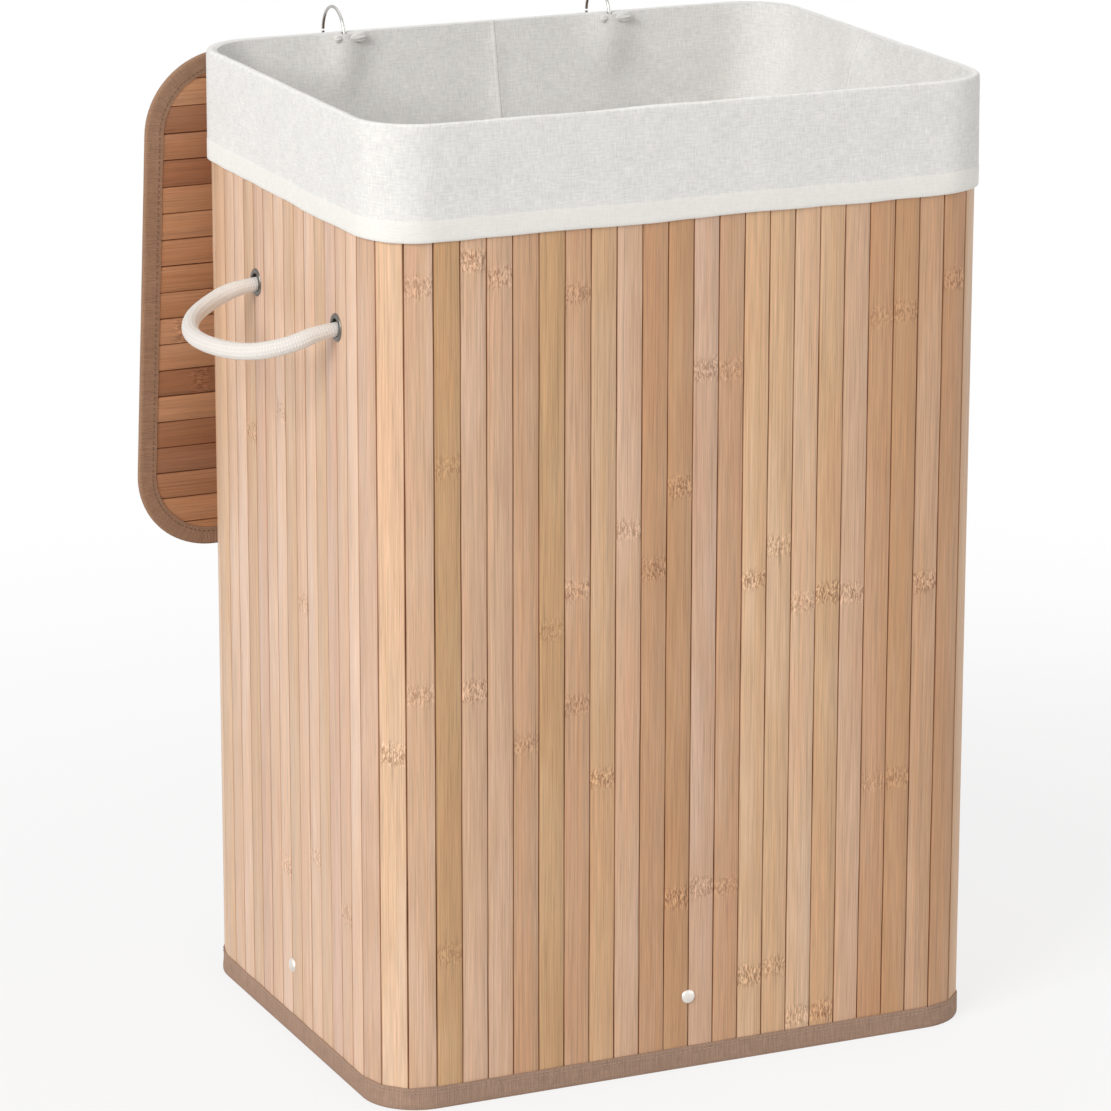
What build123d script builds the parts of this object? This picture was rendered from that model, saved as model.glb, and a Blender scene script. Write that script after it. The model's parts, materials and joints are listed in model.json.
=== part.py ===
from build123d import *
import math
import os

# Body, measured on the outside faces of the slats
body_width = 400
body_depth = 300
rim_height = 600
corner_radius = 34

# Bamboo slats of the walls
slat_thickness = 1.6
slat_gap = 0.5
slat_edge = 0.35
front_slat_count = 20
side_slat_count = 14
corner_slat_count = 3
corner_slat_relief = 1.0
slat_top = rim_height - 2

# Cloth behind the slats and the tapes that bind their ends
backing_thickness = 0.6
backing_corner_radius = 38
tape_thickness = 0.6
bottom_tape_height = 14
top_tape_height = 7

# Rope handles, one on each side wall
rope_diameter = 10
rope_clearance = 0.5
handle_height = 470
handle_middle = -19
handle_spacing = 130
handle_bend = (21.3, 0, -8)
handle_shoulder = (44.3, -18, -15)
handle_crown = (58.3, -65, -16)
left_handle_droop = 0
right_handle_droop = 60
arc_share = 0.45
knot_radius = 10
knot_thickness = 13
knot_rounding = 3.5

# Eyelets that line the rope and ring holes
rope_hole_radius = 5.4
ring_hole_radius = 5.5
eyelet_wall = 0.6
eyelet_flange_radius = 8.5
eyelet_roll_share = 0.8
rope_flange_thickness = 1.2
ring_flange_thickness = 0.5
washer_thickness = 0.6
punch_clearance = 0.1

# Base board, its cloth tabs and the rivets that hold them
board_thickness = 4
board_margin = 4
board_corner_radius = 32
board_height = 16
tab_width = 36
tab_thickness = 1
tab_reach = 34
tab_top = 60
rivet_height = 46
rivet_cap_radius = 4.5
rivet_cap_rise = 1.8
rivet_cap_taper = 35
rivet_shank_radius = 1.7
rivet_washer_radius = 4.5
rivet_washer_thickness = 0.8

# Cotton liner: a bag inside, folded over the rim into a cuff outside
liner_thickness = 0.8
cuff_drop = 69
cuff_clearance = 0.9
bag_clearance = 3
bag_mouth_radius = 37
bag_inset = 18
bag_taper_drop = 105
bag_corner_radius = 28
bag_floor = 26
buttonhole_length = 20
buttonhole_width = 10
buttonhole_height = 584.5

# Lid, hung behind the back wall by two wire rings
lid_width = 436
lid_depth = 330
lid_corner_radius = 52
lid_slat_count = 19
lid_tape_width = 13
lid_tape_thickness = 0.5
lid_hang_angle = 6.5
lid_middle = -11
lid_eyelet_inset = 15.5

# Wire rings that carry the lid; their common axis is the one that the lid swings about
ring_axis = (161.3, 595.5)
ring_to_lid_face = 7
ring_to_lid_edge = 1
ring_wire_radius = 1
ring_spacing = 182
ring_split_angle = 4
wall_eyelet_height = 582.8

# Working values
half_width = body_width / 2
half_depth = body_depth / 2
wall_thickness = slat_thickness + backing_thickness
slat_length = slat_top - tape_thickness
front_pitch = (body_width - 2 * corner_radius) / front_slat_count
side_pitch = (body_depth - 2 * corner_radius) / side_slat_count
quarter_turn = 90
corner_step = quarter_turn / corner_slat_count
corner_chord = 2 * corner_radius * math.sin(math.radians(corner_step / 2))
corner_slat_width = corner_chord - corner_slat_relief - slat_gap
rope_radius = rope_diameter / 2
pivot_reach = rope_flange_thickness + rope_radius + rope_clearance
handle_spots = [handle_middle - handle_spacing / 2, handle_middle + handle_spacing / 2]
ring_spots = [lid_middle - ring_spacing / 2, lid_middle + ring_spacing / 2]
ring_radius = math.hypot(ring_to_lid_edge + lid_eyelet_inset, ring_to_lid_face)
lid_stack = slat_thickness + backing_thickness
lid_slat_low = backing_thickness - lid_stack / 2
lid_tape_low = -lid_stack / 2 - lid_tape_thickness
lid_tape_high = lid_stack / 2 + lid_tape_thickness
through = 30

# Wall planes look outwards, with their own y axis along +Z
front_wall = Plane(origin=(0, -half_depth, 0), x_dir=(1, 0, 0), z_dir=(0, -1, 0))
back_wall = Plane(origin=(0, half_depth, 0), x_dir=(-1, 0, 0), z_dir=(0, 1, 0))
left_wall = Plane(origin=(-half_width, 0, 0), x_dir=(0, -1, 0), z_dir=(-1, 0, 0))
right_wall = Plane(origin=(half_width, 0, 0), x_dir=(0, 1, 0), z_dir=(1, 0, 0))
left_rope_spots = [(-y, handle_height) for y in handle_spots]
right_rope_spots = [(y, handle_height) for y in handle_spots]
back_ring_spots = [(-x, wall_eyelet_height) for x in ring_spots]
rivet_spot = (0, rivet_height)

# The lid plane holds the lid's mid surface: y points to the hinge edge, z out of the top face
hang = math.radians(lid_hang_angle)
lid_face_dir = Vector(0, -math.cos(hang), -math.sin(hang))
lid_down_dir = Vector(0, math.sin(hang), -math.cos(hang))
lid_reach = ring_to_lid_edge + lid_depth / 2
lid_centre = Vector(lid_middle, *ring_axis) + lid_face_dir * ring_to_lid_face + lid_down_dir * lid_reach
lid_plane = Plane(origin=lid_centre, x_dir=(1, 0, 0), z_dir=lid_face_dir)
lid_ring_spots = [(x - lid_middle, lid_depth / 2 - lid_eyelet_inset) for x in ring_spots]

os.makedirs("parts", exist_ok=True)


def keep(piece, node):
    piece.label = node
    export_step(piece, f"parts/{node}.step")


# Slat sections: a flat strip whose two outer edges are eased
def slat_section(width):
    with BuildSketch() as section:
        Rectangle(width, slat_thickness)
        chamfer(section.vertices().group_by(Axis.Y)[0], slat_edge)
    return section.sketch


# One straight wall of slats, drawn as the front wall and turned to its side
def wall_slats(turn, reach, pitch, count, bores):
    section = slat_section(pitch - slat_gap)
    with BuildPart() as slats:
        with BuildSketch(Plane.XY.offset(tape_thickness)):
            with Locations(Location((0, 0, 0), (0, 0, turn))):
                with Locations((0, slat_thickness / 2 - reach)):
                    with GridLocations(pitch, 0, count, 1):
                        add(section)
        extrude(amount=slat_length)
        for wall, spots, radius in bores:
            with BuildSketch(wall):
                with Locations(*spots):
                    Circle(radius)
            extrude(amount=through, both=True, mode=Mode.SUBTRACT)
    return slats.part


# The slats that step round one corner, each a flat chord of the corner's arc
def corner_slats(x_side, y_side):
    section = slat_section(corner_slat_width)
    centre = (x_side * (half_width - corner_radius), y_side * (half_depth - corner_radius))
    first_turn = math.degrees(math.atan2(y_side, x_side)) - quarter_turn / 2
    reach = corner_radius * math.cos(math.radians(corner_step / 2)) - slat_thickness / 2
    with BuildPart() as slats:
        with BuildSketch(Plane.XY.offset(tape_thickness)):
            with Locations(centre):
                with PolarLocations(reach, corner_slat_count, first_turn + corner_step / 2, quarter_turn):
                    with Locations(Location((0, 0, 0), (0, 0, quarter_turn))):
                        add(section)
        extrude(amount=slat_length)
    return slats.part


rope_bore = rope_hole_radius + eyelet_wall + punch_clearance
ring_bore = ring_hole_radius + eyelet_wall + punch_clearance
rivet_bore = rivet_shank_radius + punch_clearance
front_bores = [(front_wall, [rivet_spot], rivet_bore)]
back_bores = [(back_wall, [rivet_spot], rivet_bore), (back_wall, back_ring_spots, ring_bore)]
left_bores = [(left_wall, [rivet_spot], rivet_bore), (left_wall, left_rope_spots, rope_bore)]
right_bores = [(right_wall, [rivet_spot], rivet_bore), (right_wall, right_rope_spots, rope_bore)]
keep(wall_slats(0, half_depth, front_pitch, front_slat_count, front_bores), "wall_slats_front")
keep(wall_slats(180, half_depth, front_pitch, front_slat_count, back_bores), "wall_slats_back")
keep(wall_slats(-90, half_width, side_pitch, side_slat_count, left_bores), "wall_slats_left")
keep(wall_slats(90, half_width, side_pitch, side_slat_count, right_bores), "wall_slats_right")
keep(corner_slats(-1, -1), "corner_slats_front_left")
keep(corner_slats(1, -1), "corner_slats_front_right")
keep(corner_slats(-1, 1), "corner_slats_back_left")
keep(corner_slats(1, 1), "corner_slats_back_right")


# Plan outlines of the wall's layers, a given distance inside the slats' outer faces
def plan(inset, radius):
    with BuildSketch() as outline:
        RectangleRounded(body_width - 2 * inset, body_depth - 2 * inset, radius)
    return outline.sketch


tape_face_inset = wall_thickness + tape_thickness
slat_plan = plan(0, corner_radius)
backing_plan = plan(slat_thickness, backing_corner_radius)
lining_plan = plan(wall_thickness, backing_corner_radius - backing_thickness)
tape_plan = plan(-tape_thickness, corner_radius + tape_thickness)
tape_inner_plan = plan(tape_face_inset, backing_corner_radius - backing_thickness - tape_thickness)
all_bores = front_bores + back_bores + left_bores + right_bores

# Woven cloth tube that the slats are glued to
with BuildPart() as wall_backing:
    with BuildSketch(Plane.XY.offset(tape_thickness)):
        add(backing_plan)
        add(lining_plan, mode=Mode.SUBTRACT)
    extrude(amount=slat_length)
    for wall, spots, radius in all_bores:
        with BuildSketch(wall):
            with Locations(*spots):
                Circle(radius)
        extrude(amount=-through, mode=Mode.SUBTRACT)
keep(wall_backing.part, "wall_backing")

# Tape folded round the foot of the wall, which the hamper stands on
with BuildPart() as wall_bottom_tape:
    with BuildSketch():
        add(tape_plan)
        add(tape_inner_plan, mode=Mode.SUBTRACT)
    extrude(amount=bottom_tape_height)
    with BuildSketch(Plane.XY.offset(tape_thickness)):
        add(slat_plan)
        add(lining_plan, mode=Mode.SUBTRACT)
    extrude(amount=bottom_tape_height, mode=Mode.SUBTRACT)
keep(wall_bottom_tape.part, "wall_bottom_tape")

# The same tape round the top edge, under the liner's cuff
with BuildPart() as wall_top_tape:
    with BuildSketch(Plane.XY.offset(slat_top + tape_thickness)):
        add(tape_plan)
        add(tape_inner_plan, mode=Mode.SUBTRACT)
    extrude(amount=-top_tape_height)
    with BuildSketch(Plane.XY.offset(slat_top)):
        add(slat_plan)
        add(lining_plan, mode=Mode.SUBTRACT)
    extrude(amount=-top_tape_height, mode=Mode.SUBTRACT)
keep(wall_top_tape.part, "wall_top_tape")


# Eyelets: a barrel through the sheet with a rolled flange on the outer face
def eyelets(faces, hole_radius, flange_thickness, grip):
    with BuildPart() as shells:
        for face, spots in faces:
            with BuildSketch(face):
                with Locations(*spots):
                    Circle(eyelet_flange_radius)
            extrude(amount=flange_thickness)
            with BuildSketch(face):
                with Locations(*spots):
                    Circle(hole_radius + eyelet_wall)
            extrude(amount=-grip)
        outer_rims = shells.edges().filter_by(GeomType.CIRCLE)
        outer_rims = [e for e in outer_rims if math.isclose(e.radius, eyelet_flange_radius)]
        rolled = [e for e in outer_rims if is_on_outside(e, faces, flange_thickness)]
        fillet(rolled, flange_thickness * eyelet_roll_share)
        for face, spots in faces:
            with BuildSketch(face):
                with Locations(*spots):
                    Circle(hole_radius)
            extrude(amount=through, both=True, mode=Mode.SUBTRACT)
    return shells.part


def is_on_outside(edge, faces, height):
    middle = edge.arc_center
    return any(math.isclose(face.to_local_coords(middle).Z, height, abs_tol=0.01) for face, spots in faces)


# Washers that the barrels are clenched over on the inner face
def washers(faces, hole_radius, depth, rim_radius, thickness):
    with BuildPart() as plates:
        for face, spots in faces:
            with BuildSketch(face.offset(-depth)):
                with Locations(*spots):
                    Circle(rim_radius)
                    Circle(hole_radius, mode=Mode.SUBTRACT)
            extrude(amount=-thickness)
    return plates.part


rope_faces = [(left_wall, left_rope_spots), (right_wall, right_rope_spots)]
ring_faces = [(back_wall, back_ring_spots)]
lid_faces = [(lid_plane.offset(lid_tape_high), lid_ring_spots)]
lid_grip = lid_tape_high - lid_tape_low
rope_washer_hole = rope_hole_radius + eyelet_wall
ring_washer_hole = ring_hole_radius + eyelet_wall
keep(eyelets(rope_faces, rope_hole_radius, rope_flange_thickness, wall_thickness), "handle_eyelets")
rope_washers = washers(rope_faces, rope_hole_radius, wall_thickness, eyelet_flange_radius, washer_thickness)
keep(rope_washers, "handle_eyelet_washers")
keep(eyelets(ring_faces, ring_hole_radius, ring_flange_thickness, wall_thickness), "ring_eyelets")
ring_washers = washers(ring_faces, ring_hole_radius, wall_thickness, eyelet_flange_radius, washer_thickness)
keep(ring_washers, "ring_eyelet_washers")
keep(eyelets(lid_faces, ring_hole_radius, ring_flange_thickness, lid_grip), "lid_eyelets")
lid_washers = washers(lid_faces, ring_hole_radius, lid_grip, eyelet_flange_radius, ring_flange_thickness)
keep(lid_washers, "lid_eyelet_washers")


# Rope handle: a loop that droops from two pivots just outside its eyelets
def handle_route(side, droop):
    half = handle_spacing / 2
    level, fall = math.cos(math.radians(droop)), math.sin(math.radians(droop))
    corners = [(0, 0, 0), handle_bend, handle_shoulder, handle_crown]
    hung = [(out * level + drop * fall, along, drop * level - out * fall) for out, along, drop in corners]
    outward = [(out, half + along, drop) for out, along, drop in hung]
    homeward = [(out, -along, drop) for out, along, drop in reversed(outward[:-1])]
    start = side * (half_width + pivot_reach)
    return [
        Vector(start + side * out, handle_middle + along, handle_height + drop)
        for out, along, drop in outward + homeward
    ]


def arc_radii(route):
    radii = []
    for before, corner, after in zip(route, route[1:], route[2:]):
        turn = math.radians((corner - before).get_angle(after - corner))
        shorter = min((corner - before).length, (after - corner).length)
        radii.append(arc_share * shorter / math.tan(turn / 2))
    return radii


def rope_handle(side, droop):
    route = handle_route(side, droop)
    radii = arc_radii(route)
    with BuildPart() as rope:
        with BuildLine() as path:
            FilletPolyline(*route, radius=radii)
        start = Plane(origin=path.wires()[0] @ 0, z_dir=path.wires()[0] % 0)
        with BuildSketch(start):
            Circle(rope_radius)
        sweep(path=path.wires()[0])
        tube_ratio = rope.part.volume / (math.pi * rope_radius**2 * path.wires()[0].length)
        with Locations(route[0], route[-1]):
            Sphere(rope_radius)
    print("rope arc radii", [round(radius, 1) for radius in radii], "tube volume ratio", round(tube_ratio, 4))
    return rope.part


keep(rope_handle(-1, left_handle_droop), "handle_rope_left")
keep(rope_handle(1, right_handle_droop), "handle_rope_right")


# Rope ends: the stub in each eyelet and the stopper knot behind the washer
def rope_ends(wall, spots):
    knot_face = wall_thickness + washer_thickness
    with BuildPart() as ends:
        with BuildSketch(wall.offset(-knot_face)):
            with Locations(*spots):
                Circle(knot_radius)
        extrude(amount=-knot_thickness)
        chamfer(ends.edges().filter_by(GeomType.CIRCLE), knot_rounding)
        with BuildSketch(wall.offset(rope_flange_thickness)):
            with Locations(*spots):
                Circle(rope_hole_radius - rope_clearance)
        extrude(amount=-rope_flange_thickness - knot_face - knot_thickness / 2)
    return ends.part


keep(rope_ends(left_wall, left_rope_spots), "handle_rope_ends_left")
keep(rope_ends(right_wall, right_rope_spots), "handle_rope_ends_right")

# Base board that the load stands on
board_inset = wall_thickness + tab_thickness + board_margin
with BuildPart() as base_board:
    with BuildSketch(Plane.XY.offset(board_height)):
        add(plan(board_inset, board_corner_radius))
    extrude(amount=board_thickness)
keep(base_board.part, "base_board")

# Cloth tabs: glued under the board, turned up along each wall and riveted there
walls = [front_wall, back_wall, left_wall, right_wall]
with BuildPart() as base_tabs:
    for wall in walls:
        inner = wall.offset(-wall_thickness)
        tab_foot = board_height - tab_thickness
        with BuildSketch(inner):
            with Locations((0, tab_foot)):
                Rectangle(tab_width, tab_top - tab_foot, align=(Align.CENTER, Align.MIN))
            with Locations(rivet_spot):
                Circle(rivet_bore, mode=Mode.SUBTRACT)
        extrude(amount=-tab_thickness)
        with BuildSketch(inner.offset(-tab_thickness)):
            with Locations((0, tab_foot)):
                Rectangle(tab_width, tab_thickness, align=(Align.CENTER, Align.MIN))
        extrude(amount=-tab_reach)
keep(base_tabs.part, "base_tabs")

# Rivets: a low domed cap outside and a shank through slats, cloth and tab
rivet_grip = wall_thickness + tab_thickness + rivet_washer_thickness
with BuildPart() as base_rivets:
    for wall in walls:
        with BuildSketch(wall):
            with Locations(rivet_spot):
                Circle(rivet_cap_radius)
        extrude(amount=rivet_cap_rise, taper=rivet_cap_taper)
        with BuildSketch(wall):
            with Locations(rivet_spot):
                Circle(rivet_shank_radius)
        extrude(amount=-rivet_grip)
keep(base_rivets.part, "base_rivets")
rivet_faces = [(wall, [rivet_spot]) for wall in walls]
tab_face = wall_thickness + tab_thickness
rivet_plates = washers(rivet_faces, rivet_bore, tab_face, rivet_washer_radius, rivet_washer_thickness)
keep(rivet_plates, "base_rivet_washers")

# Liner: cuff, fold over the rim and tapering bag, with a buttonhole for each ring
cuff_foot = rim_height - cuff_drop
fold_under = rim_height - liner_thickness
taper_foot = rim_height - bag_taper_drop
cuff_outer_inset = -cuff_clearance - liner_thickness
cuff_outer_plan = plan(cuff_outer_inset, corner_radius - cuff_outer_inset)
cuff_inner_plan = plan(-cuff_clearance, corner_radius + cuff_clearance)


def bag_body(thinner, floor):
    mouth = plan(bag_clearance + thinner, bag_mouth_radius - thinner)
    waist = plan(bag_inset + thinner, bag_corner_radius - thinner)
    with BuildPart() as body:
        with BuildSketch(Plane.XY.offset(rim_height)):
            add(mouth)
        with BuildSketch(Plane.XY.offset(taper_foot)):
            add(waist)
        loft(ruled=True)
        with BuildSketch(Plane.XY.offset(taper_foot)):
            add(waist)
        extrude(amount=floor - taper_foot)
    return body.part


with BuildPart() as liner:
    with BuildSketch(Plane.XY.offset(rim_height)):
        add(cuff_outer_plan)
    extrude(amount=-cuff_drop)
    with BuildSketch(Plane.XY.offset(fold_under)):
        add(cuff_inner_plan)
    extrude(amount=-cuff_drop, mode=Mode.SUBTRACT)
    add(bag_body(0, bag_floor))
    add(bag_body(liner_thickness, bag_floor + liner_thickness), mode=Mode.SUBTRACT)
    with BuildSketch(back_wall):
        with Locations(*[(across, buttonhole_height) for across, up in back_ring_spots]):
            SlotOverall(buttonhole_length, buttonhole_width, rotation=quarter_turn)
    extrude(amount=through, both=True, mode=Mode.SUBTRACT)
keep(liner.part, "liner")


# Lid layers share the lid's rounded outline, drawn in from its edge
def lid_outline(inset):
    with BuildSketch() as outline:
        RectangleRounded(lid_width - 2 * inset, lid_depth - 2 * inset, lid_corner_radius - inset)
    return outline.sketch


lid_pitch = lid_depth / lid_slat_count
lid_eyelet_bore = ring_hole_radius + eyelet_wall + punch_clearance

# Lid slats, side by side along the lid's width
with BuildPart() as lid_slats:
    with BuildSketch(lid_plane.offset(lid_slat_low)):
        add(lid_outline(lid_tape_thickness))
        with GridLocations(0, lid_pitch, 1, lid_slat_count - 1):
            Rectangle(lid_width, slat_gap, mode=Mode.SUBTRACT)
        with Locations(*lid_ring_spots):
            Circle(lid_eyelet_bore, mode=Mode.SUBTRACT)
    extrude(amount=slat_thickness)
keep(lid_slats.part, "lid_slats")

# Cloth glued under the lid's slats
with BuildPart() as lid_backing:
    with BuildSketch(lid_plane.offset(lid_slat_low - backing_thickness)):
        add(lid_outline(lid_tape_thickness))
        with Locations(*lid_ring_spots):
            Circle(lid_eyelet_bore, mode=Mode.SUBTRACT)
    extrude(amount=backing_thickness)
keep(lid_backing.part, "lid_backing")

# Tape folded round the lid's edge
with BuildPart() as lid_tape:
    with BuildSketch(lid_plane.offset(lid_tape_low)):
        add(lid_outline(0))
        add(lid_outline(lid_tape_width), mode=Mode.SUBTRACT)
    extrude(amount=lid_grip)
    with BuildSketch(lid_plane.offset(-lid_stack / 2)):
        add(lid_outline(lid_tape_thickness))
    extrude(amount=lid_stack, mode=Mode.SUBTRACT)
    with BuildSketch(lid_plane):
        with Locations(*lid_ring_spots):
            Circle(lid_eyelet_bore)
    extrude(amount=through, both=True, mode=Mode.SUBTRACT)
keep(lid_tape.part, "lid_tape")

# Split wire rings, each through a wall eyelet, over the rim and through a lid eyelet
with BuildPart() as hinge_rings:
    for ring_x in ring_spots:
        ring_plane = Plane(origin=(ring_x, *ring_axis), x_dir=(0, -1, 0), z_dir=(0, 0, 1))
        with BuildSketch(ring_plane):
            with Locations((ring_radius, 0)):
                Circle(ring_wire_radius)
        revolve(axis=Axis((ring_x, *ring_axis), (1, 0, 0)), revolution_arc=360 - ring_split_angle)
keep(hinge_rings.part, "hinge_rings")
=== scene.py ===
import json
import math
import random

import bmesh
import bpy
from mathutils import Matrix, Quaternion, Vector, noise


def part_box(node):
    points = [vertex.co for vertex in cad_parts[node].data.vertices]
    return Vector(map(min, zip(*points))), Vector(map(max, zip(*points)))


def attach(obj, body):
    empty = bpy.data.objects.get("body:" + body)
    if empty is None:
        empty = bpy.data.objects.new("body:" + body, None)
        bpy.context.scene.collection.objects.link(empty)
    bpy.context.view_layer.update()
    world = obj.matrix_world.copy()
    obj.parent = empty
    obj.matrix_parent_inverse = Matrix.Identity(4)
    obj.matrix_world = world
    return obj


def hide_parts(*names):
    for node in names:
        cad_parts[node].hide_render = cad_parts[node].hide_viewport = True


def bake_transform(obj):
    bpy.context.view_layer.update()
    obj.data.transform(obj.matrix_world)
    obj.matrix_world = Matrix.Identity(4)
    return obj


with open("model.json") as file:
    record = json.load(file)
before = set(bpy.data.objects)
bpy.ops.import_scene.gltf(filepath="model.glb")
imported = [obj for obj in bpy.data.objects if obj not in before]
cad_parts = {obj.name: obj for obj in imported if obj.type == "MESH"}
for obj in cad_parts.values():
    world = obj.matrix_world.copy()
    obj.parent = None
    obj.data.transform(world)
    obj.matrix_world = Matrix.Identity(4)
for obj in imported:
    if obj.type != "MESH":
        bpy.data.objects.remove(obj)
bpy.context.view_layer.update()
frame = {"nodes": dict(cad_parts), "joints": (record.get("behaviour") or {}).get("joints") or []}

toRight = Vector((1, 0, 0))
toBack = Vector((0, 1, 0))
up = Vector((0, 0, 1))
print("frame in place:", len(frame["nodes"]), "nodes")


# small hands: selection, edit mode, modifiers
def clearSelection():
    if bpy.context.object and bpy.context.object.mode != "OBJECT":
        bpy.ops.object.mode_set(mode="OBJECT")
    bpy.ops.object.select_all(action="DESELECT")


def activate(piece):
    clearSelection()
    piece.select_set(True)
    bpy.context.view_layer.objects.active = piece


def openMesh(piece):
    activate(piece)
    bpy.ops.object.mode_set(mode="EDIT")
    bpy.ops.mesh.select_all(action="SELECT")


def closeMesh():
    bpy.ops.object.mode_set(mode="OBJECT")


def pickEdges(piece, rule):
    bpy.ops.mesh.select_mode(type="EDGE")
    bpy.ops.mesh.select_all(action="DESELECT")
    shape = bmesh.from_edit_mesh(piece.data)
    for edge in shape.edges:
        edge.select_set(rule(edge))
    shape.select_flush_mode()
    bmesh.update_edit_mesh(piece.data)


def finishWith(piece, kind, **settings):
    activate(piece)
    modifier = piece.modifiers.new(kind.lower(), kind)
    for key, value in settings.items():
        setattr(modifier, key, value)
    bpy.ops.object.modifier_apply(modifier=modifier.name)


def thicken(piece, thickness):
    finishWith(piece, "SOLIDIFY", thickness=thickness, offset=0)


def carve(piece, tool, operation="DIFFERENCE"):
    finishWith(piece, "BOOLEAN", operation=operation, object=tool, solver="EXACT")


def mergeSeam(piece, gap=0.00001):
    openMesh(piece)
    bpy.ops.mesh.remove_doubles(threshold=gap)
    closeMesh()


def faceOutwards(piece):
    openMesh(piece)
    bpy.ops.mesh.normals_make_consistent(inside=False)
    closeMesh()


def capEnds(piece):
    openMesh(piece)
    bpy.ops.mesh.select_all(action="DESELECT")
    bpy.ops.mesh.select_mode(type="EDGE")
    bpy.ops.mesh.select_non_manifold()
    bpy.ops.mesh.fill_holes(sides=0)
    closeMesh()
    faceOutwards(piece)


def smooth(piece, degrees):
    activate(piece)
    bpy.ops.object.shade_smooth_by_angle(angle=math.radians(degrees))


def copyOf(source, name):
    twin = source.copy()
    twin.data = source.data.copy()
    twin.name = name
    bpy.context.scene.collection.objects.link(twin)
    return twin


def joinAll(parts, name):
    clearSelection()
    for part in parts:
        part.select_set(True)
    bpy.context.view_layer.objects.active = parts[0]
    bpy.ops.object.join()
    joined = bpy.context.object
    joined.name = name
    return joined


def drop(piece):
    bpy.data.objects.remove(piece)


def dress(piece, material):
    piece.data.materials.clear()
    piece.data.materials.append(material)


# a piece's last steps: its finish and body, and the nodes it stands for
def settle(piece, material, body, slot, *nodes):
    dress(piece, material)
    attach(piece, body)
    if nodes:
        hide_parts(*nodes)


def seatAt(origin, *axes):
    seat = Matrix(axes).transposed().to_4x4()
    seat.translation = origin
    return seat


def facing(origin, outward):
    across = outward.cross(up)
    return seatAt(origin, across, outward, across.cross(outward))


def cubeAt(size, place=(0, 0, 0)):
    clearSelection()
    bpy.ops.mesh.primitive_cube_add(size=1, location=place, scale=size)
    bpy.ops.object.transform_apply(location=True, rotation=True, scale=True)
    return bpy.context.object


def bore(piece, spot, direction, radius, depth=0.04):
    clearSelection()
    turn = direction.to_track_quat("Z", "Y").to_euler()
    bpy.ops.mesh.primitive_cylinder_add(vertices=40, radius=radius, depth=depth, location=spot, rotation=turn)
    cutter = bpy.context.object
    carve(piece, cutter)
    drop(cutter)


# camera, where the photograph was taken from
viewpoint = {
    "aim": Vector((0, 0, 0.3)),
    "azimuth": -24.532,
    "elevation": 15.602,
    "roll": 0.166,
    "distance": 3.268,
    "focal": 170.2,
    "sensor": 36,
    "shift": (-0.02867, -0.01834),
    "farthest": 50,
}


def placeCamera():
    turn = math.radians(viewpoint["azimuth"])
    rise = math.radians(viewpoint["elevation"])
    back = Vector((math.sin(turn) * math.cos(rise), -math.cos(turn) * math.cos(rise), math.sin(rise)))
    clearSelection()
    bpy.ops.object.camera_add(location=viewpoint["aim"] + back * viewpoint["distance"])
    camera = bpy.context.object
    camera.rotation_mode = "QUATERNION"
    roll = Quaternion(up, math.radians(viewpoint["roll"]))
    camera.rotation_quaternion = (-back).to_track_quat("-Z", "Y") @ roll
    camera.data.lens = viewpoint["focal"]
    camera.data.sensor_width = viewpoint["sensor"]
    camera.data.shift_x, camera.data.shift_y = viewpoint["shift"]
    camera.data.clip_end = viewpoint["farthest"]
    bpy.context.scene.camera = camera


placeCamera()
print("camera placed")


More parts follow.
